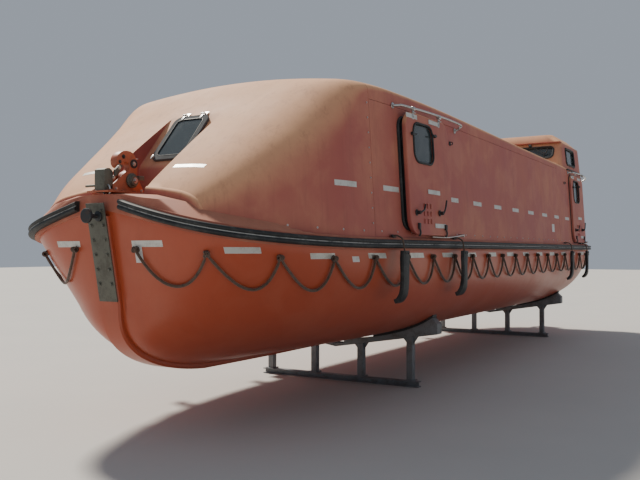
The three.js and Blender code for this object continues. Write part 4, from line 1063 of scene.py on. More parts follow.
towerWindows = {
    "front": {"y": 1.29, "low": 3.3, "high": 3.51, "corner": 0.07, "from": 9.3, "to": 10.05},
    "aft": {"y": 0.7, "low": 3.3, "high": 3.49, "corner": 0.06, "from": 10.9, "to": 11.3},
    "side": {"s0": 9.98, "s1": 10.64, "low": 3.2, "high": 3.5, "corner": 0.06},
}
towerHatch = {"s": 10.7, "radius": 0.33, "rim": 0.045, "hinge": 0.012}


def upTower(foot, top, z):
    return mix(tower[foot], tower[top], (z - tower["base"]) / (tower["top"] - tower["base"]))


def towerFront(z):
    return upTower("front", "frontTop", z)


def towerHalf(z):
    return upTower("half", "halfTop", z)


def towerRing(z, front, half, inset, corner="corner"):
    r = max(0.02, tower[corner] - inset)
    outline = roundedOutline(front + inset, -half + inset, tower["aft"] - inset, half - inset, r, 6)
    return [at(s, y, z) for s, y in outline]


def towerBody(inset):
    foot, top, edge = tower["base"] - (0.2 if inset else 0.0), tower["top"] - inset, tower["edge"]
    rings = [towerRing(z, towerFront(z), towerHalf(z), inset) for z in stretch(foot, top - edge, 0.08)]
    for k in range(1, 5):  # rolled edge, then the raised crown
        a = math.radians(90 * k / 4)
        z = top - edge + edge * math.sin(a)
        rings.append(towerRing(z, towerFront(top), towerHalf(top), inset + edge * (1 - math.cos(a))))
    for t, climb in ((0.1, 0.1), (0.9, 0.93), (1.0, 1.0)):
        front = mix(towerFront(top) + 0.02, towerFront(top) + 0.14, t)
        half = mix(towerHalf(top) - edge, tower["crownHalf"], t)
        z = mix(top + 0.002, tower["crown"] - inset, climb)
        rings.append(towerRing(z, front, half, inset, "crownCorner"))
    return skin(rings)


def endOpening(w):
    outline = roundedOutline(-w["y"], w["low"], w["y"], w["high"], w["corner"])
    return skin([[at(s, y, z) for y, z in outline] for s in (w["from"], w["to"])])


def sideOpening(w):
    return sideSlab(roundedOutline(w["s0"], w["low"], w["s1"], w["high"], w["corner"]), -2.0, 2.0)


def gasket(tree, outline, inward, radius):  # rubber bead round an opening, laid on a skin
    points, lift = [], 0.004
    for p in outline:
        hit, normal, _, _ = tree.ray_cast(p - inward * 0.6, inward)
        points.append(hit + normal * lift if hit else p)
    return tube(points, radius, 8, closed=True)


def makeTower():
    body = makeObject("towerHouse", towerBody(0), canopyPaint)
    tree = treeOf(body)
    front, aft, flank = (towerWindows[key] for key in ("front", "aft", "side"))
    below = skin([canopyRing(s) for s in stretch(9.0, 11.9, 0.1)])
    r = towerHatch["radius"] - towerHatch["rim"]
    hatchway = placed(turned([(0, -0.2), (r, -0.2), (r, 0.2), (0, 0.2)], 40),
                      Matrix.Translation(at(towerHatch["s"], 0, tower["crown"])))
    carve(body, [towerBody(canopy["wall"])], linerPaint)
    carve(body, [below, sideOpening(flank), endOpening(front), endOpening(aft), hatchway])
    settle(body, replaces=["tower"])
    beads = []
    for w, x, inward in ((front, front["from"], -1), (aft, aft["to"], 1)):
        line = roundedOutline(-w["y"], w["low"], w["y"], w["high"], w["corner"], 6)
        beads.append(gasket(tree, [at(x, y, z) for y, z in line], Vector((inward, 0, 0)), 0.02))
    line = roundedOutline(flank["s0"], flank["low"], flank["s1"], flank["high"], flank["corner"], 6)
    side = gasket(tree, [at(s, 1.9, z) for s, z in line], Vector((0, -1, 0)), 0.018)
    piece("towerGaskets", combine(bothSides(side), *beads), blackRubber)


makeTower()
print("tower made")


# Lids, hatches and release gear

def drum(centre, axis, radius, length, round=0.003, sides=28):  # short cylinder with softened rims
    h, e = length / 2, round
    profile = [(0, -h), (radius - e, -h), (radius, e - h), (radius, h - e), (radius - e, h), (0, h)]
    return placed(turned(profile, sides), basis(centre, Vector(axis).orthogonal(), axis))


def rod(points, radius, steps=6, sides=10):  # round bar bent smoothly through the points
    return tube(smoothPath(points, steps), radius, sides)


lid = {"hinge": (10.358, 3.7813), "pin": 0.0135, "lugs": (-0.094, 0.094), "arms": (-0.055, 0.055)}


def makeTowerHatch():
    s, r, z = towerHatch["s"], towerHatch["radius"], tower["crown"] + 0.0005
    profile = [(0, 0.002), (r - 0.03, 0.002), (r - 0.024, 0), (r - 0.003, 0), (r, 0.004), (r, 0.026),
               (r - 0.004, 0.03), (r - 0.02, 0.034), (r - 0.055, 0.053), (r - 0.075, 0.06), (0.15, 0.068),
               (0, 0.0705)]
    piece("towerLid", placed(turned(profile, 64), Matrix.Translation(at(s, 0, z))), canopyPaint, "tower_hatch",
          ["tower_hatch"])
    hingeS, hingeZ = lid["hinge"]
    pin = at(hingeS, 0, hingeZ)
    arms = [softened(boxBetween(at(s - 0.25, y - 0.016, z + 0.036), at(hingeS, y + 0.016, z + 0.022), 0), 0.003)
            for y in lid["arms"]]
    bar = ((-0.07, 0.04), (-0.07, 0.066), (0, 0.07), (0.07, 0.066), (0.07, 0.04))
    grip = rod([at(s + 0.2, y, z + h) for y, h in bar], 0.006)
    barrel = drum(pin, (0, 1, 0), lid["pin"], 0.165)
    piece("towerLidHinge", combine(barrel, grip, *arms), darkSteel, "tower_hatch")
    lugs = [drum(pin + Vector((0, y, 0)), (0, 1, 0), lid["pin"], 0.019) for y in lid["lugs"]]
    lugs += [boxBetween(pin + Vector((-0.013, y - 0.009, -0.03)), pin + Vector((0.013, y + 0.009, 0)), 0.002)
             for y in lid["lugs"]]
    piece("towerLugs", combine(*lugs), darkSteel)


hatch = {"thick": 0.028, "rise": 0.03, "places": (-0.11, 0.11), "gap": 0.012, "margin": 0.062, "rim": 0.05,
         "pin": 0.0095}


def makeHatch(end):
    m, length = backWall(end)
    half, body = alcoves[end]["half"], end + "_hatch"
    margin, rim, rise, pin = (hatch[key] for key in ("margin", "rim", "rise", "pin"))
    leafShape = softened(hatchPlate(end, hatch["gap"], half, 0.0006, hatch["thick"], 0.08), 0.006, 3)
    leaf = makeObject(end + "Hatch", leafShape, hatchSteel)
    carve(leaf, [hatchPlate(end, margin, half - rim, -0.02, 0.06, 0.05)])
    settle(leaf, body, [body])
    line = roundedOutline(rim - half, margin, half - rim, length - margin, 0.05, 6)
    bead = tube([(x, y, 0.022) for x, y in line], 0.009, 8, closed=True)
    seal = tube([(x * 1.16, mix(length / 2, y, 1.14), 0.004) for x, y in line], 0.008, 6, closed=True)
    piece(end + "HatchSeals", placed(combine(bead, seal), m), blackRubber, body)
    parts, lugs = [], []
    for y in hatch["places"]:
        parts.append(drum((y, 0, rise), (1, 0, 0), pin, 0.0235))
        parts.append(boxBetween((y - 0.011, 0.004, 0.026), (y + 0.011, 0.07, 0.033), 0.002))
        parts.append(bolt((y, 0.052, 0.033), (0, 0, 1), 0.006))
        for lug in (y - 0.019, y + 0.019):
            lugs.append(drum((lug, 0, rise), (1, 0, 0), pin, 0.0095))
            lugs.append(boxBetween((lug - 0.0045, -0.009, -0.02), (lug + 0.0045, 0.009, 0.03), 0.002))
        lugs.append(boxBetween((y - 0.032, -0.05, 0.0), (y + 0.032, -0.012, 0.006), 0.002))
    for x in (0.04 - half, half - 0.04):  # dogs at the foot
        parts.append(drum((x, length - 0.045, 0.036), (0, 0, 1), 0.013, 0.018))
        parts.append(boxBetween((x - 0.007, length - 0.06, 0.044), (x + 0.007, length - 0.005, 0.052), 0.003))
    piece(end + "HatchFittings", placed(combine(*parts), m), stainless, body)
    piece(end + "HatchLugs", placed(combine(*lugs), m), stainless)
    paintSlots(end + "_hatch_window", tintedGlass)


hook = {"pin": (0.3, 2.19), "base": 2.0753, "cheekIn": 0.0425, "cheekOut": 0.056, "half": 0.036,
        "eye": (0.345, 2.335),  # outlines below in millimetres
        "body": [(255, 2120), (350, 2120), (375, 2165), (386, 2215), (394, 2270), (395, 2330), (386, 2370),
                 (368, 2402), (342, 2426), (310, 2438), (272, 2440), (235, 2435), (202, 2421), (175, 2400),
                 (157, 2376), (150, 2348), (154, 2318), (167, 2300), (186, 2290), (206, 2291), (220, 2318),
                 (240, 2338), (262, 2344), (285, 2338), (299, 2322), (304, 2303), (298, 2284), (284, 2270),
                 (262, 2260), (240, 2244), (229, 2215), (227, 2170)],
        "basePlate": [(-20, 2075.3), (500, 2075.3), (500, 2089.3), (-20, 2089.3)],
        "cheek": [(70, 2075.3), (470, 2075.3), (462, 2092), (422, 2150), (388, 2205), (350, 2246), (305, 2262),
                  (250, 2260), (200, 2232), (160, 2198), (110, 2160), (70, 2130)],
        "post": [(0, 2075.3), (95, 2075.3), (95, 2238), (82, 2262), (60, 2274), (30, 2272), (0, 2260)],
        "arm": [(92, 2262), (150, 2316), (176, 2300), (150, 2262), (120, 2218), (96, 2208)]}


def endPlate(end, outline, y0, y1, edge=0.004):
    return softened(sideSlab([(fromEnd(end, d / 1000), z / 1000) for d, z in outline], y0, y1), edge, 2, 40)


def makeHook(end):
    pin = at(fromEnd(end, hook["pin"][0]), 0, hook["pin"][1])
    across, flanks, base, body = (0, 1, 0), (-1, 1), hook["base"], end + "_hook"
    inner, outer, half = hook["cheekIn"], hook["cheekOut"], hook["half"]
    eyeD, eyeZ = hook["eye"]

    def spot(d, y, z):
        return at(fromEnd(end, d), y, z)

    plates = [endPlate(end, hook["basePlate"], -0.12, 0.12, 0.003), drum(pin, across, 0.02, 0.112)]
    plates += [endPlate(end, hook["cheek"], y0, y1) for y0, y1 in ((inner, outer), (-outer, -inner))]
    for side in flanks:
        angle = spot(0.06, side * 0.058, base + 0.012), spot(0.4, side * 0.074, base + 0.028)
        plates.append(boxBetween(*angle, 0.004))
        plates += [bolt(spot(d, side * 0.097, base + 0.014), (0, 0, 1)) for d in (0.03, 0.16, 0.3, 0.44)]
    piece(end + "HookCheeks", combine(*plates), hookPaint, replaces=[end + "_hook_bracket"])
    dark = [endPlate(end, hook["post"], -outer, outer, 0.005)]
    dark.append(drum(spot(0.04, -0.08, 2.135), across, 0.01, 0.236))
    boss = turned([(0, 0), (0.058, 0), (0.062, 0.005), (0.062, 0.016), (0.054, 0.022), (0.05, 0.022),
                   (0.046, 0.03), (0.042, 0.042), (0.026, 0.044), (0, 0.044)], 36)
    for side in flanks:  # bosses on the pin, each with its ring, nut and lock plate
        face = side * outer
        dark.append(placed(boss, basis(pin + Vector((0, face, 0)), (1, 0, 0), (0, side, 0))))
        dark.append(boxBetween(spot(0.36, face, 2.2), spot(0.43, face + side * 0.026, 2.235), 0.004))
    dark.append(endPlate(end, hook["arm"], 0.06, 0.082))
    piece(end + "HookPost", combine(*dark), plateSteel)
    bright = [bolt(pin + Vector((0, side * 0.1, 0)), (0, side, 0), 0.017) for side in flanks]
    for side in flanks:
        bright += [bolt(spot(d, side * outer, z), (0, side, 0), 0.011)
                   for d, z in ((0.42, 2.11), (0.13, 2.11), (0.1, 2.2))]
        bright += [bolt(pin + Vector((0.05 * math.cos(a), side * 0.073, 0.05 * math.sin(a))), (0, side, 0), 0.005)
                   for a in circle(6)]
    bright.append(bolt(spot(0.135, 0.082, 2.285), across))
    link = [spot(0.04, 0.045, 2.135) + Vector((0, 0.035 * math.cos(a), 0.05 * math.sin(a) - 0.045))
            for a in circle(20)]
    bright.append(tube(link, 0.007, 8, closed=True))
    piece(end + "HookBolts", combine(*bright), stainless)
    leaf = makeObject(end + "Hook", endPlate(end, hook["body"], -half, half, 0.007), hookPaint)
    carve(leaf, [drum(pin, across, 0.0205, 0.2, 0)])
    settle(leaf, body, [body])
    rings = []
    ring = turned([(0.03, 0), (0.036, 0), (0.038, 0.003), (0.038, 0.009), (0.034, 0.012), (0.024, 0.012),
                   (0.022, 0.006), (0, 0.006)], 32)
    for side in flanks:
        rings.append(placed(ring, basis(spot(eyeD, side * half, eyeZ), (1, 0, 0), (0, side, 0))))
        rings.append(bolt(spot(0.23, side * half, 2.385), (0, side, 0)))
        rings.append(bolt(spot(0.19, side * half, 2.34), (0, side, 0), 0.01))
    piece(end + "HookRings", combine(*rings), darkSteel, body)
    nuts = [bolt(spot(eyeD, side * 0.042, eyeZ), (0, side, 0), 0.013) for side in flanks]
    tab = boxBetween(spot(0.392, -0.03, 2.378), spot(0.408, 0.03, 2.386), 0.002)
    piece(end + "HookNuts", combine(tab, *nuts), stainless, body)


def paintSlots(node, material):  # a CAD node that stays keeps its mesh and gets a finish on its object
    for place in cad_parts[node].material_slots:
        place.link = "OBJECT"
        place.material = material


makeTowerHatch()
for end in ("bow", "stern"):
    makeHatch(end)
    makeHook(end)
for pane in ("front", "aft", "port", "starboard"):
    paintSlots("tower_window_" + pane, tintedGlass)
print("hatches and hooks made")


# Plates at the ends

stemPlate = {"high": 1.985, "low": 1.19, "thick": 0.012, "half": 0.1, "post": (0.03, 1.88), "pitch": 0.118}
sternPlate = {"high": 1.985, "low": 1.62, "thick": 0.0115, "half": 0.1, "bolts": (1.66, 1.76, 1.86, 1.95)}


def keelFace(z):  # front of the keel band on the stem
    return stemProfile(z) - hull["keelDepth"] * 1.02 - 0.0003


def makeEndPlates():
    low, high, half, thick = (stemPlate[k] for k in ("low", "high", "half", "thick"))
    face = [(keelFace(z), z) for z in (high, low)]
    outline = face[:1] + [(s - thick, z) for s, z in face] + face[1:]
    strap = softened(sideSlab(outline, -half, half), 0.003, 2)
    bolts, z = [], high - 0.06
    while z > low + 0.03:
        bolts += [bolt(at(keelFace(z) - thick, side * 0.066, z), (1, 0, -0.19), 0.013) for side in (-1, 1)]
        z -= stemPlate["pitch"]
    piece("stemPlate", combine(strap, *bolts), plateSteel, replaces=["stem_plate"])
    y, z = stemPlate["post"]
    profile = [(0, -0.01), (0.042, -0.01), (0.042, 0.012), (0.036, 0.018), (0.022, 0.022), (0.02, 0.03),
               (0.02, 0.1), (0.03, 0.106), (0.055, 0.112), (0.06, 0.118), (0.06, 0.134), (0.052, 0.14),
               (0.02, 0.1405), (0, 0.1405)]
    post = placed(turned(profile, 36), basis(at(keelFace(z) - thick, y, z), (0, 1, 0), (1, 0, 0)))
    piece("painterPost", post, darkSteel)
    inner, half = hull["length"] - hull["deckInset"] + 0.0003, sternPlate["half"]
    outer = inner + sternPlate["thick"]
    plate = boxBetween(at(outer, -half, sternPlate["low"]), at(inner, half, sternPlate["high"]), 0.003)
    nuts = [bolt(at(outer, side * 0.07, z), (-1, 0, 0)) for side in (-1, 1) for z in sternPlate["bolts"]]
    piece("sternPlate", combine(plate, *nuts), plateSteel, replaces=["stern_plate"])


makeEndPlates()
print("end plates made")


# Side doors

doorWindow = {"s0": 0.15, "z0": 2.49, "s1": 0.62, "z1": 2.9, "corner": 0.11}
guide = {"above": 0.034, "off": 0.092, "radius": 0.012, "feet": ((-0.02, 0.0), (1.56, -0.04)),
         "hangers": (0.17, 0.8), "brackets": (0.82, 0.16)}
levers = ((0.13, 1.985, 20), (0.69, 2.0, 50))  # place along the door, height, lean in degrees


def wallAt(s, z, off=0.0):  # port side of the canopy, and off metres out of it
    return at(s, canopyFoot(s) - canopy["tumblehome"] * (z - canopy["foot"]) + off, z)


def leaned(outline, inner, outer):  # plate parallel to the canopy's side
    return skin([[wallAt(s, z, off) for s, z in outline] for off in (inner, outer)])


def glazing(s, inset):
    w = doorWindow
    return roundedOutline(s + w["s0"] + inset, w["z0"] + inset, s + w["s1"] - inset, w["z1"] - inset, w["corner"])


def bead(outline, off, radius):  # rubber bead on the canopy's side
    return tube([wallAt(s, z, off) for s, z in outline], radius, 8, closed=True)


def doorLever(s, z, off, lean):
    foot, across = wallAt(s, z, off), (0, 1, 0)
    plate = drum(foot + Vector((0, 0.004, 0)), across, 0.032, 0.012, 0.004)
    hub = drum(foot + Vector((0, 0.028, 0)), across, 0.019, 0.04, 0.004)
    reach = Vector((-0.12 * math.cos(lean), 0, 0.12 * math.sin(lean)))
    path = [foot + reach * t + Vector((0, out, 0)) for t, out in ((0.0, 0.045), (0.3, 0.05), (0.8, 0.046))]
    path.append(foot + reach + Vector((-0.012, 0.044, 0.045)))
    return combine(plate, hub, rod(path, 0.009))


def doorHanger(s, top, out):  # clip over the door's head and the wheel on the guide rod
    face = wallAt(s, top, out)
    wheel = wallAt(s, top, guide["off"]) + Vector((0, 0, guide["above"]))
    out = wheel.y - face.y
    return [boxAt(face, (-0.022, -0.004, -0.07), (0.022, 0.004, -0.002), 0.002),
            boxAt(face, (-0.022, -0.004, -0.012), (0.022, out + 0.022, -0.004), 0.002),
            drum(wheel, (1, 0, 0), 0.022, 0.044, 0.004),
            boxAt(face, (-0.02, out - 0.004, -0.008), (0.02, out + 0.004, guide["above"] - 0.012), 0.002),
            bolt(face + Vector((0, 0.004, -0.045)), (0, 1, 0), 0.009)]


def doorFoot(s, low, out):  # guide bracket under the door
    p = wallAt(s, low + 0.09, out)
    bend = [p + Vector(step) for step in ((0, 0.012, -0.02), (0, 0.022, -0.07), (0, 0.006, -0.1))]
    return [boxAt(p, (-0.02, -0.002, -0.03), (0.02, 0.02, 0.03), 0.003), rod(bend, 0.009)]


def doorRail(start, z):  # guide rod with its two feet
    (f0, r0), (f1, r1) = guide["feet"]
    off = guide["off"]
    route = [(f0, r0, 0.014), (0.01, 0, 0.064), (0.06, 0, off), (0.8, 0.02, off), (1.5, 0.02, off),
             (1.56, -0.01, 0.064), (f1, r1, 0.014)]
    parts = [rod([wallAt(start + ds, z + dz, out) for ds, dz, out in route], guide["radius"], 6, 14)]
    for ds, dz in guide["feet"]:
        p = wallAt(start + ds, z + dz)
        parts.append(drum(p + Vector((0, 0.005, 0)), (0, 1, 0), 0.03, 0.012))
        parts += [bolt(p + Vector((0.02 * k, 0.01, 0)), (0, 1, 0), 0.006) for k in (-1, 1)]
    return combine(*parts)


def makeDoor(name, start, slid, side):
    s = start + slid
    stand = doorSize["standOpen" if slid else "standShut"]
    out = stand + doorSize["thick"]
    low, top = doorSize["bottom"], doorSize["bottom"] + doorSize["height"]
    label = "door" + "".join(word.capitalize() for word in name.split("_"))

    def fit(ending, shapes, material, replaces=()):
        piece(label + ending, handed(combine(*shapes), side), material, replaces=replaces)

    leafShape = softened(leaned(doorOutline(s, 0), stand, out), 0.014, 4, 40)
    leaf = makeObject(label, handed(leafShape, side), canopyPaint)
    carve(leaf, [handed(leaned(glazing(s, 0), stand - 0.06, out + 0.06), side)])
    settle(leaf, replaces=["door_" + name])
    rubber = [bead(glazing(s, 0.004), out + 0.001, 0.011)]
    if slid:
        rubber.append(leaned(doorOutline(s, 0.035), 0.0008, stand - 0.002))
        rubber.append(bead(doorOutline(start, doorSize["inset"] - 0.01), 0.008, 0.016))
    else:
        rubber.append(bead(doorOutline(s, -0.004), 0.003, 0.009))
    fit("Seals", rubber, blackRubber)
    fittings = [doorLever(s + ds, z, out, math.radians(lean)) for ds, z, lean in levers]
    for ds, z, toward in ((doorWindow["s0"] - 0.035, 2.77, -1), (doorWindow["s1"] + 0.035, 2.81, 1)):
        p = wallAt(s + ds, z, out)  # latches beside the pane
        fittings.append(drum(p + Vector((0, 0.012, 0)), (0, 1, 0), 0.018, 0.026))
        fittings.append(boxAt(p, (-toward * 0.02, 0.018, -0.009), (toward * 0.075, 0.03, 0.009), 0.004))
    for ds in guide["brackets"]:
        fittings += doorFoot(s + ds, low, out)
    fit("Fittings", fittings, darkSteel)
    bright = []
    for ds in guide["hangers"]:
        bright += doorHanger(s + ds, top, out)
    runner = [wallAt(s + ds, low + dz, 0.05) for ds, dz in ((0.55, -0.012), (1.0, -0.012), (1.46, 0.02))]
    bright.append(rod(runner, 0.008))
    bright.append(boxAt(runner[-1], (0.01, -0.052, -0.02), (-0.01, 0.008, 0.012), 0.003))
    fit("Rail", [doorRail(start, top + guide["above"])], stainless, ["door_rail_" + name])
    louvre, louvres = box((0.02, 0.009, 0.052), 0.004, 3), []
    for k in range(9):  # three columns of three pressed louvres
        place = wallAt(s + 0.32 + 0.08 * (k % 3), 1.905 + 0.078 * (k // 3), out + 0.001)
        louvres.append(placed(louvre, Matrix.Translation(place)))
    fit("Louvres", louvres, canopyPaint)
    fit("Brackets", bright, stainless)
    paintSlots("door_window_" + name, tintedGlass)
    strips = [(0.14, 2.95, 0.24), (0.66, 2.95, 0.24), (0.58, 2.212, 0.3), (0.7, 1.865, 0.28)]
    return [(s + ds, z, long, out, side) for ds, z, long in strips]


doorTapes = []
for door in doors:
    doorTapes += makeDoor(*door)
print("doors made")


# Grab lines and strap fenders

line = {"radius": 0.012, "stand": 0.013, "pitch": 0.592, "first": 0.2, "crest": 1.545, "sag": 0.27, "loops": 21,
        "bowLift": 0.085, "liftRun": 1.6, "steps": 18}


def planAt(z):  # port waterline of the hull at height z
    out = []
    for station in stations:
        lowV, highV = 0.0, 1.0
        for _ in range(16):  # halved until it is well under a millimetre
            v = (lowV + highV) / 2
            if hullPoint(station, v)[2] < z:
                lowV = v
            else:
                highV = v
        out.append(hullPoint(station, lowV)[:2])
    return out


planLow, planPitch = 1.2, 0.06
plans = [(planLow + planPitch * k, planAt(planLow + planPitch * k)) for k in range(9)]


def alongPlan(plan, run):
    for a, b in zip(plan, plan[1:]):
        length = math.dist(a, b)
        if run <= length:
            return [mix(a[i], b[i], run / length) for i in range(2)]
        run -= length
    return plan[-1]


def onHull(run, z):  # point of the port hull side by distance round from the stem, with its normal
    k = min(len(plans) - 2, max(0, int((z - planLow) / planPitch)))
    (z0, a), (z1, b) = plans[k], plans[k + 1]
    p, q = alongPlan(a, run), alongPlan(b, run)
    t = (z - z0) / (z1 - z0)
    place, normal, _, _ = hullTree.find_nearest(at(mix(p[0], q[0], t), mix(p[1], q[1], t), z))
    return place, normal if normal.y > -0.2 else -normal


def makeGrabLine():
    points, crests = [], []
    for i in range(line["loops"] * line["steps"] + 1):
        phase = (i % line["steps"]) / line["steps"]
        run = line["first"] + line["pitch"] * i / line["steps"]
        lift = line["bowLift"] * max(0, 1 - run / line["liftRun"])
        z = line["crest"] + lift - line["sag"] * (1 - (2 * phase - 1) ** 2)
        place, normal = onHull(run, z)
        points.append(place + normal * (line["radius"] + line["stand"]))
        if i % line["steps"] == 0:
            crests.append((place, normal))
    rope, quarterTurn = tube(points, line["radius"], 10), Matrix.Rotation(math.radians(90), 4, "Z")
    knots, eyes = [], []
    for place, normal in crests:  # rope seized to an eye with three turns
        m = basis(place + normal * 0.025, (0, 0, 1), normal)
        for x in (-0.017, 0, 0.017):
            ring = [(x + 0.004 * math.sin(a * 2), 0.019 * math.cos(a), 0.019 * math.sin(a)) for a in circle(14)]
            knots.append(placed(tube(ring, 0.0075, 7, closed=True), m @ quarterTurn))
        flange = drum((0, 0, 0.004), (0, 0, 1), 0.024, 0.01)
        loop = rod([(0.014, 0, 0), (0.014, 0, 0.022), (-0.014, 0, 0.022), (-0.014, 0, 0)], 0.005)
        eyes.append(placed(combine(flange, loop), basis(place, (0, 0, 1), normal)))
    rope, eyes = combine(rope, *knots), combine(*eyes)
    for label, side in sides:
        tail = label.capitalize()
        piece("grabLine" + tail, handed(rope, side), ropeFibre, replaces=["grab_line_" + label])
        piece("grabEyes" + tail, handed(eyes, side), darkSteel)


strap = {"places": (2.215, 3.69, 9.1, 10.35), "half": 0.068, "thick": 0.021, "off": 0.022,
         "centre": [(0.03, 1.606), (0.026, 1.52), (0.028, 1.4), (0.025, 1.29), (0.012, 1.2), (-0.02, 1.145),
                    (-0.052, 1.128)],
         "twists": ([0.0, -0.02, 0.03, 0.04, 0.0, 0.0, 0.0], [0.0, 0.05, 0.16, 0.1, -0.06, -0.1, 0.0])}


def strapRings(s, face, twist):  # rubber strap hanging down the side and curling in at its foot
    path = smoothPath([(face + y, z, turn) for (y, z), turn in zip(strap["centre"], twist)], 5)
    outline = roundedOutline(-strap["half"], -strap["thick"], strap["half"], strap["thick"], 0.008, 2)
    rings = []
    for i, (y, z, turn) in enumerate(path):
        before, after = path[max(0, i - 1)], path[min(len(path) - 1, i + 1)]
        away = Vector((0, after[1] - before[1], before[0] - after[0])).normalized()
        away = away if away.y > 0 else -away
        along = Vector((math.cos(turn), math.sin(turn) * 0.6, 0))
        rings.append([at(s, y, z) + along * across + away * out for across, out in outline])
    return rings


def makeStrap(s, index):
    edge = railAt(s)[0] - hull["deckInset"]
    ledge = railAt(s)[1] + hull["flange"] + 0.0006
    face = edge + fender["depth"] + strap["off"]
    rubber = skin(strapRings(s, face, strap["twists"][index % 2]))
    route = [(face + 0.025, 1.6), (face + 0.022, 1.63), (face + 0.014, 1.68), (face, 1.72),
             (edge + 0.034, ledge + 0.016), (edge - 0.008, ledge + 0.02)]
    lanyard = rod([at(s, y, z) for y, z in route], 0.0085, 6, 8)
    steel = [boxBetween(at(s + 0.038, edge, ledge), at(s - 0.038, canopyFoot(s) + 0.016, ledge + 0.014), 0.003)]
    steel.append(drum(at(s, edge - 0.014, ledge + 0.018), (1, 0, 0), 0.011, 0.074))
    steel += [bolt(at(s + k, edge - 0.036, ledge + 0.014), (0, 0, 1), 0.006) for k in (-0.026, 0.026)]
    steel.append(boxBetween(at(s + 0.045, face + 0.004, 1.575), at(s - 0.045, face + 0.053, 1.59), 0.003))
    steel += [bolt(at(s + k, face + 0.053, 1.582), (0, 1, 0), 0.007) for k in (-0.03, 0.03)]
    for label, side in sides:
        tail = "%s%d" % (label.capitalize(), index + 1)
        piece("strapFender" + tail, handed(rubber, side), blackRubber,
              replaces=["strap_fender_%s_%d" % (label, index + 1)])
        piece("strapLanyard" + tail, handed(lanyard, side), ropeFibre)
        piece("strapCleat" + tail, handed(combine(*steel), side), darkSteel)


makeGrabLine()
for index, s in enumerate(strap["places"]):
    makeStrap(s, index)
print("lines and strap fenders made")


# Propeller, rudder and what is seen inside

screw = {"blades": 4, "pitch": 0.34, "points": 20,
         "hub": [(0, -0.066), (0.052, -0.066), (0.062, -0.056), (0.062, 0.05), (0.056, 0.066), (0.04, 0.084),
                 (0.02, 0.094), (0, 0.096)],
         # radius, chord, thickness
         "sections": [(0.045, 0.09, 0.018), (0.08, 0.122, 0.015), (0.12, 0.15, 0.013), (0.16, 0.163, 0.011),
                      (0.2, 0.158, 0.008), (0.232, 0.12, 0.006), (0.246, 0.07, 0.004)]}


def bladeRing(r, chord, thick):
    angle, ring = math.atan2(screw["pitch"], 2 * math.pi * r), []
    for a in circle(screw["points"]):
        u, v = 0.5 * chord * math.cos(a), 0.5 * thick * math.sin(a) * (1 + 0.3 * math.cos(a))
        ring.append((u * math.sin(angle) + v * math.cos(angle), u * math.cos(angle) - v * math.sin(angle), r))
    return ring


def makePropeller():
    place = at(keel["propellerS"], 0, keel["propellerZ"])
    shapes = [placed(turned(screw["hub"], 40), basis(place, (0, 0, 1), (-1, 0, 0)))]
    shapes.append(drum(place + Vector((0.23, 0, 0)), (1, 0, 0), 0.0235, 0.4))
    blade = skin([bladeRing(*section) for section in screw["sections"]])
    shapes += [placed(blade, Matrix.Translation(place) @ Matrix.Rotation(a, 4, "X"))
               for a in circle(screw["blades"])]
    piece("propellerScrew", combine(*shapes), bronzeFinish, "propeller", ["propeller"])


rudder = {"bottom": 0.514, "top": 1.54, "thick": 0.019, "stock": 0.03, "ribs": (0.66, 0.85, 1.04),
          "ribHalf": 0.0265}


def makeRudder():
    s, low, high, half, rib = keel["stockS"], rudder["bottom"], rudder["top"], rudder["thick"], rudder["ribHalf"]
    outline = [(s - 0.07, low), (s + 0.26, low + 0.038), (s + 0.28, low + 0.05), (s + 0.289, 1.17),
               (s + 0.27, 1.188), (s - 0.07, 1.15)]
    blade = softened(sideSlab(outline, -half, half), 0.012, 3, 40)
    stock = drum(at(s, 0, (low + high) / 2), (0, 0, 1), rudder["stock"], high - low, 0.003, 36)
    ribs = [boxBetween(at(s - 0.06, -rib, z), at(s + 0.24, rib, z + 0.03), 0.004) for z in rudder["ribs"]]
    pintle = drum(at(s, 0, low - 0.02), (0, 0, 1), 0.018, 0.06)
    piece("rudderBlade", combine(blade, *ribs), hullPaint, "rudder", ["rudder"])
    nuts = [bolt(at(s + ds, side * rib, z + 0.015), (0, side, 0), 0.008) for side in (-1, 1)
            for z in rudder["ribs"] for ds in (0.06, 0.16)]
    piece("rudderStock", combine(stock, pintle, *nuts), stainless, "rudder")


helmStand = {"top": 2.14, "front": 9.72, "aft": 10.88, "seatS": 10.48, "wheelZ": 2.86, "wheelRadius": 0.17}


def makeEngine(floor):
    engine = [boxBetween(at(9.36, -0.33, floor), at(10.42, 0.33, 1.3), 0.02, 3),
              boxBetween(at(9.44, -0.26, 1.29), at(10.34, 0.26, 1.52), 0.03, 3),
              boxBetween(at(9.52, -0.2, 1.51), at(10.2, 0.2, 1.6), 0.02, 3)]
    engine += [drum(at(9.6 + 0.17 * k, 0, 1.605), (0, 0, 1), 0.04, 0.06, 0.006) for k in range(4)]
    engine += [boxBetween(at(9.5 + 0.1 * k, -0.322, 1.12), at(9.54 + 0.1 * k, 0.322, 1.296), 0.006)
               for k in range(9)]
    piece("engineBlock", combine(*engine), enginePaint, replaces=["engine"])


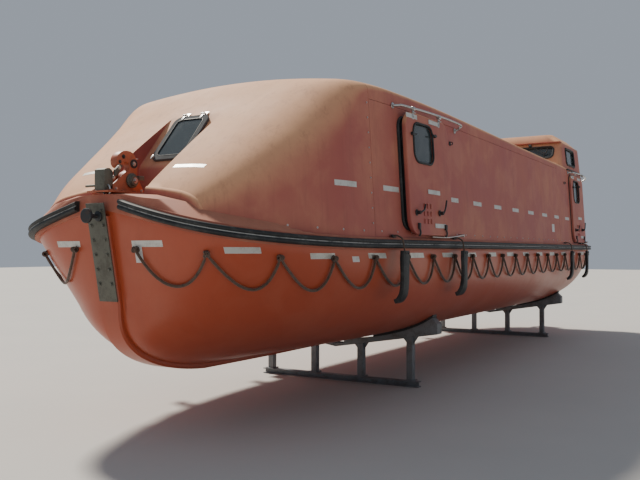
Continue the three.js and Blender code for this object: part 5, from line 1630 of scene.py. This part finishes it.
def makeHelm(floor):
    top, front, aft, seatS = (helmStand[key] for key in ("top", "front", "aft", "seatS"))
    helm = [boxBetween(at(front, -0.54, top - 0.04), at(aft, 0.54, top), 0.008)]
    helm += [boxBetween(at(s - 0.03, y - 0.03, floor), at(s + 0.03, y + 0.03, top - 0.03), 0.006)
             for s in (front + 0.04, aft - 0.04) for y in (-0.48, 0.48)]
    desk = [(front + 0.02, top - 0.02), (front + 0.18, top - 0.02), (front + 0.2, 2.98), (front + 0.28, 3.0),
            (front + 0.2, 3.058), (front + 0.01, 3.058), (front + 0.02, 2.98)]
    panel = [(front + 0.01, 2.985), (front + 0.26, 2.985), (front + 0.2, 3.055), (front + 0.01, 3.055)]
    helm.append(softened(sideSlab(desk, -0.26, 0.26), 0.01, 3))
    helm.append(softened(sideSlab(panel, -0.33, 0.33), 0.008, 3))
    helm.append(drum(at(seatS, 0, 2.36), (0, 0, 1), 0.06, 0.47, 0.004))
    piece("helmStand", combine(*helm), linerPaint, replaces=["helm"])
    seat = [placed(box((0.42, 0.46, 0.08), 0.03, 4), Matrix.Translation(at(seatS, 0, 2.63))),
            placed(box((0.078, 0.42, 0.46), 0.03, 4), Matrix.Translation(at(seatS + 0.2, 0, 2.845)))]
    z, r = helmStand["wheelZ"], helmStand["wheelRadius"]
    rim = [at(front + 0.24 + 0.03 * math.sin(a), r * math.cos(a), z + r * math.sin(a)) for a in circle(32)]
    spokes = [tube([at(front + 0.215, 0, z), rim[k]], 0.009, 8) for k in (4, 15, 26)]
    piece("helmSeat", combine(*seat, tube(rim, 0.013, 10, closed=True), *spokes), blackRubber)


def makeBench(floor):
    bench = [boxBetween(at(2.3, -0.3, 1.43), at(8.7, 0.3, 1.478), 0.012, 3)]
    bench += [boxBetween(at(s, -0.038, floor), at(s + 0.06, 0.038, 1.44), 0.008)
              for s in [2.34 + 0.702 * k for k in range(10)]]
    bench.append(boxBetween(at(2.36, -0.012, floor), at(8.64, 0.012, 1.43), 0.004))
    piece("centreBench", combine(*bench), linerPaint, replaces=["bench"])


makePropeller()
makeRudder()
for make in (makeEngine, makeHelm, makeBench):
    make(well["floor"] + 0.0004)
print("running gear and inside made")


# Cradle

stands = {"forward": 3.95, "aft": 10.05}
cradle = {"legs": (0.33, 0.985), "beamHalf": 1.1, "beamWide": 0.045, "leg": 0.04, "bolster": 0.07, "pad": 0.03,
          "gap": 0.0004, "outline": [(0, 0.42), (1.35, 0.64), (1.35, 0.76), (1.2, 0.9), (0, 0.9)]}


def hullLowered(drop):
    return skin([[p - Vector((0, 0, drop)) for p in hullRing(st)] for st in stations])


def makeBolster(name, s):
    half = cradle["bolster"]
    shape = softened(skin([[at(s + w, y, z) for y, z in cradle["outline"]] for w in (-half, half)]), 0.006)
    bolster = makeObject("bolster" + name.capitalize(), shape, galvanised)
    carve(bolster, [mirrored(shape)], galvanised, "UNION")
    keelSlot = block(s - 0.4, -0.125, 0.4697, s + 0.4, 0.125, 1.2)
    carve(bolster, [hullLowered(cradle["pad"] + cradle["gap"]), keelSlot])
    settle(bolster, replaces=["cradle_" + name])


def makeLegs(name, s):
    wide, long, leg = cradle["beamWide"], cradle["beamHalf"], cradle["leg"]
    frames = [boxBetween(at(s - wide, -long, z), at(s + wide, long, z + 0.012), 0.002) for z in (0.0, 0.058)]
    frames.append(boxBetween(at(s - 0.005, 0.01 - long, 0.01), at(s + 0.005, long - 0.01, 0.06), 0.001))  # web
    foot, top = cradle["outline"][:2]
    for y in [side * place for place in cradle["legs"] for side in (-1, 1)]:
        high = mix(foot[1], top[1], abs(y) / top[0]) + 0.01
        frames.append(boxBetween(at(s - leg, y - leg, 0.07), at(s + leg, y + leg, high), 0.008, 3))
        frames.append(boxBetween(at(s - 0.066, y - 0.06, 0.07), at(s + 0.066, y + 0.06, 0.08), 0.002))
        for k in (-1, 1):
            climb = k * (0.01 if y > 0 else -0.01)
            gusset = [(y + k * leg, high - 0.005), (y + k * (leg + 0.06), high - 0.005 + climb),
                      (y + k * leg, high - 0.085)]
            frames.append(skin([[at(s + w, *corner) for corner in gusset] for w in (-0.004, 0.004)]))
            frames.append(bolt(at(s + k * 0.052, y + k * 0.048, 0.08), (0, 0, 1), 0.007))
    piece("cradle" + name.capitalize(), combine(*frames), galvanised)


def makePads(name, s):
    half = cradle["bolster"] - 0.008
    shape = block(s - half, 0.52, 0.3, s + half, 1.29, 1.2)
    for label, side in sides:
        pad = makeObject("pad" + name.capitalize() + label.capitalize(), handed(shape, side), blackRubber)
        carve(pad, [hullLowered(cradle["pad"])], blackRubber, "INTERSECT")
        carve(pad, [hullLowered(cradle["gap"])])
        settle(pad, replaces=["pad_%s_%s" % (name, label)])


for name, s in stands.items():
    makeBolster(name, s)
    makeLegs(name, s)
    makePads(name, s)
print("cradle made")


# Tapes, labels and small fittings

tapes = {"hullFirst": 0.3, "hullPitch": 0.78, "hullCount": 17, "hullZ": 1.56, "bowLift": 0.12, "liftRun": 1.8,
         "thick": 0.0015, "doorTall": 0.045,
         "wall": (1.52, 2.27, 3.81, 4.63, 5.45, 6.27, 7.08, 7.9, 8.7, 9.49), "wallZ": 2.18,
         "slope": (0.454, 0.545)}


def laid(spots):  # thin sheet over rows of places and normals
    columns, count, thick = 3, len(spots), tapes["thick"]
    rows = count // columns
    shape = [p + n * thick for p, n in spots] + [p - n * thick for p, n in spots]
    faces = []
    for i in range(rows - 1):
        for j in range(columns - 1):
            a = i * columns + j
            quad = (a, a + 1, a + 1 + columns, a + columns)
            faces += [quad, tuple(count + k for k in reversed(quad))]
    last = (rows - 1) * columns
    edge = list(range(columns)) + [i * columns + columns - 1 for i in range(1, rows)]
    edge += [last + j for j in range(columns - 2, -1, -1)] + [i * columns for i in range(rows - 2, 0, -1)]
    for a, b in zip(edge, edge[1:] + edge[:1]):
        faces.append((b, a, count + a, count + b))
    return shape, faces


def overGrid(long, tall, rows=9):  # offsets of a tape's points from its middle, three across its width
    return [(long * (i / (rows - 1) - 0.5), tall * (j / 2 - 0.5)) for i in range(rows) for j in range(3)]


def tapeOnHull(run, z, long=0.3, tall=0.05):
    return laid([onHull(run + dr, z + dz) for dr, dz in overGrid(long, tall, 13)])


def onCanopy(near, outward):  # nearest place of the canopy, with the normal on the outward side
    place, normal, _, _ = canopyTree.find_nearest(near)
    return place, normal if normal.dot(outward) > 0 else -normal


def tapeOnWall(s, z, long=0.3, tall=0.05):
    return laid([onCanopy(wallAt(s + ds, z + dz), Vector((0, 1, 0))) for ds, dz in overGrid(long, tall)])


def tapeOnDoor(s, z, long, off):
    lean = Vector((0, 1, canopy["tumblehome"]))
    return laid([(wallAt(s + ds, z + dz, off), lean) for ds, dz in overGrid(long, tapes["doorTall"])])


def tapeOnSlope(s, y, long=0.32, tall=0.055):  # across the bow moulding's front slope
    up, height = Vector((0, 0, 1)), roofAt(s)[0]
    return laid([onCanopy(at(s + ds, y + dy, height), up) for dy, ds in overGrid(long, tall)])


def makeTapes():
    both = []
    for k in range(tapes["hullCount"]):
        run = tapes["hullFirst"] + tapes["hullPitch"] * k
        both.append(tapeOnHull(run, tapes["hullZ"] + tapes["bowLift"] * max(0, 1 - run / tapes["liftRun"])))
    both += [tapeOnWall(s, tapes["wallZ"] + (0.02 if s < 3 else 0)) for s in tapes["wall"]]
    both.append(tapeOnSlope(*tapes["slope"]))
    onDoors = [handed(tapeOnDoor(s, z, long, off), side) for s, z, long, off, side in doorTapes]
    piece("reflectiveTapes", combine(bothSides(*both), *onDoors), reflectiveTape)
    labels = [tapeOnHull(0.21, 1.585, 0.075, 0.15), tapeOnHull(2.29, 1.53, 0.1, 0.05),
              tapeOnWall(8.42, 1.985, 0.16, 0.13)]
    piece("blankLabels", combine(*labels), blankLabel)


flangeBolts = {"first": 0.55, "pitch": 0.3, "above": 0.118, "size": 0.0065}
seamBolts = {"count": 9, "low": 1.86, "pitch": 0.14, "size": 0.006}


def makeBolts():
    bolts, across = [], Vector((0, 1, 0))
    s = flangeBolts["first"]
    while s < hull["length"] - 0.5:  # through-bolts of the canopy's foot flange
        p = wallAt(s, railAt(s)[1] + flangeBolts["above"])
        place, normal = onCanopy(p, across)
        if (place - p).length < 0.05:
            bolts.append(bolt(place, normal, flangeBolts["size"]))
        s += flangeBolts["pitch"]
    for k in range(seamBolts["count"]):  # along the bow moulding's seam
        place = wallAt(canopy["bowSeam"] - 0.035, seamBolts["low"] + seamBolts["pitch"] * k, 0.001)
        bolts.append(bolt(place, across, seamBolts["size"]))
    piece("canopyBolts", bothSides(*bolts), stainless)


padEyes = {"places": ((3.79, 2.82), (9.42, 2.81)), "half": 0.014, "reach": 0.03}
gutter = {"from": 9.72, "to": 10.9, "z": 3.085, "radius": 0.012}
ledgeRibs = {"first": 0.34, "pitch": 0.055, "count": 10, "wide": 0.014}


def makeFittings():
    eyes, h, out = [], padEyes["half"], padEyes["reach"]
    for p in [wallAt(s, z) for s, z in padEyes["places"]]:  # small eyes under the eaves
        eyes.append(drum(p + Vector((0, 0.003, 0)), (0, 1, 0), 0.026, 0.01))
        eyes.append(rod([p + Vector((0, y, z)) for y, z in ((0, h), (out, h), (out, -h), (0, -h))], 0.005))
    piece("padEyes", bothSides(*eyes), darkSteel)
    s0, s1, z = gutter["from"], gutter["to"], gutter["z"]  # over each after door
    route = [(s0, z - 0.015, 0.006), (s0 + 0.08, z, 0.012), (s1 - 0.08, z, 0.012), (s1, z - 0.015, 0.006)]
    piece("gutters", bothSides(rod([wallAt(*spot) for spot in route], gutter["radius"])), blackRubber)
    ribs = []
    for k in range(ledgeRibs["count"]):  # non-slip ribs on the ledge by the hook
        s = ledgeRibs["first"] + ledgeRibs["pitch"] * k
        edge, z = railAt(s)[0] - 0.03, railAt(s)[1] + hull["flange"]
        inner = canopyFoot(s) + 0.012
        ribs.append(boxBetween(at(s, inner, z - 0.004), at(s + ledgeRibs["wide"], edge, z + 0.006), 0.002))
    piece("ledgeRibs", bothSides(*ribs), deckPaint)
    hinges = []
    for y in hatch["places"]:
        p = at(1.19, y, roofAt(1.19)[0]) + Vector((0.015, 0, 0.002))
        hinges.append(placed(box((0.09, 0.07, 0.006), 0.002), basis(p, (-0.8, 0, 0.62), (0.62, 0, 0.8))))
    piece("hingePlates", combine(*hinges), stainless)


visor = {"below": 0.012, "thick": 0.02, "back": 0.1, "front": 0.05}
wiper = {"places": (0.86, -0.86), "top": 3.55, "low": 3.38, "sweep": 0.3}


def makeTowerTrim():
    z = tower["top"] - visor["below"]
    front, half = towerFront(z), towerHalf(z) - 0.02
    ahead, behind = front - visor["front"], front + visor["back"]
    outline = [(ahead, half), (ahead, -half), (behind, -half), (behind, half)]
    plate = skin([[at(s, y, h) for s, y in outline] for h in (z, z + visor["thick"])])
    piece("towerVisor", softened(plate, 0.006, 2, 40), canopyPaint)
    wipers = []
    for y in wiper["places"]:
        top = at(towerFront(wiper["top"]) - 0.03, y, wiper["top"])
        low = at(towerFront(3.4) - 0.026, y + wiper["sweep"], wiper["low"])
        wipers.append(drum(top, (0.88, 0, 0.48), 0.024, 0.05))
        wipers.append(tube([top + Vector((0.02, 0, 0)), low + Vector((0.014, 0, 0))], 0.006, 8))
        wipers.append(tube([low + Vector((0.004, -0.05, -0.06)), low + Vector((0.004, 0.05, 0.09))], 0.008, 8))
    piece("windowWipers", combine(*wipers), darkSteel)


makeTapes()
makeBolts()
makeFittings()
makeTowerTrim()
print("trim made")


# Floor, light and the world round them

studio = {"floor": (0.48, 0.47, 0.45, 1), "floorPale": (0.55, 0.53, 0.5, 1), "sunFrom": (-112, 50),
          "sunPower": 5.8, "sunSize": 6, "sunColour": (1.0, 0.93, 0.82), "sky": 0.46,
          "skyColour": (0.72, 0.8, 0.92, 1)}


def addStudio():
    bpy.ops.mesh.primitive_grid_add(x_subdivisions=8, y_subdivisions=8, size=120)
    floor = bpy.context.object
    floor.name = "floor"
    material, net, shader = newFinish("floorFinish", {"Roughness": 0.85})
    tone = net.noise(net.objectPlace(), scale=0.6, detail=6.0, rough=0.6)
    net.put(shader.inputs["Base Color"], net.mix(tone, studio["floor"], studio["floorPale"]))
    floor.data.materials.append(material)
    data = bpy.data.lights.new("sun", "SUN")
    data.energy = studio["sunPower"]
    data.angle = math.radians(studio["sunSize"])
    data.color = studio["sunColour"]
    sun = bpy.data.objects.new("sun", data)
    sun.rotation_euler = (-direction(*studio["sunFrom"])).to_track_quat("-Z", "Y").to_euler()
    bpy.context.scene.collection.objects.link(sun)
    world = bpy.data.worlds.new("sky")
    world.use_nodes = True
    background = world.node_tree.nodes["Background"]
    background.inputs["Color"].default_value = studio["skyColour"]
    background.inputs["Strength"].default_value = studio["sky"]
    bpy.context.scene.world = world


addStudio()
print("floor and light set")
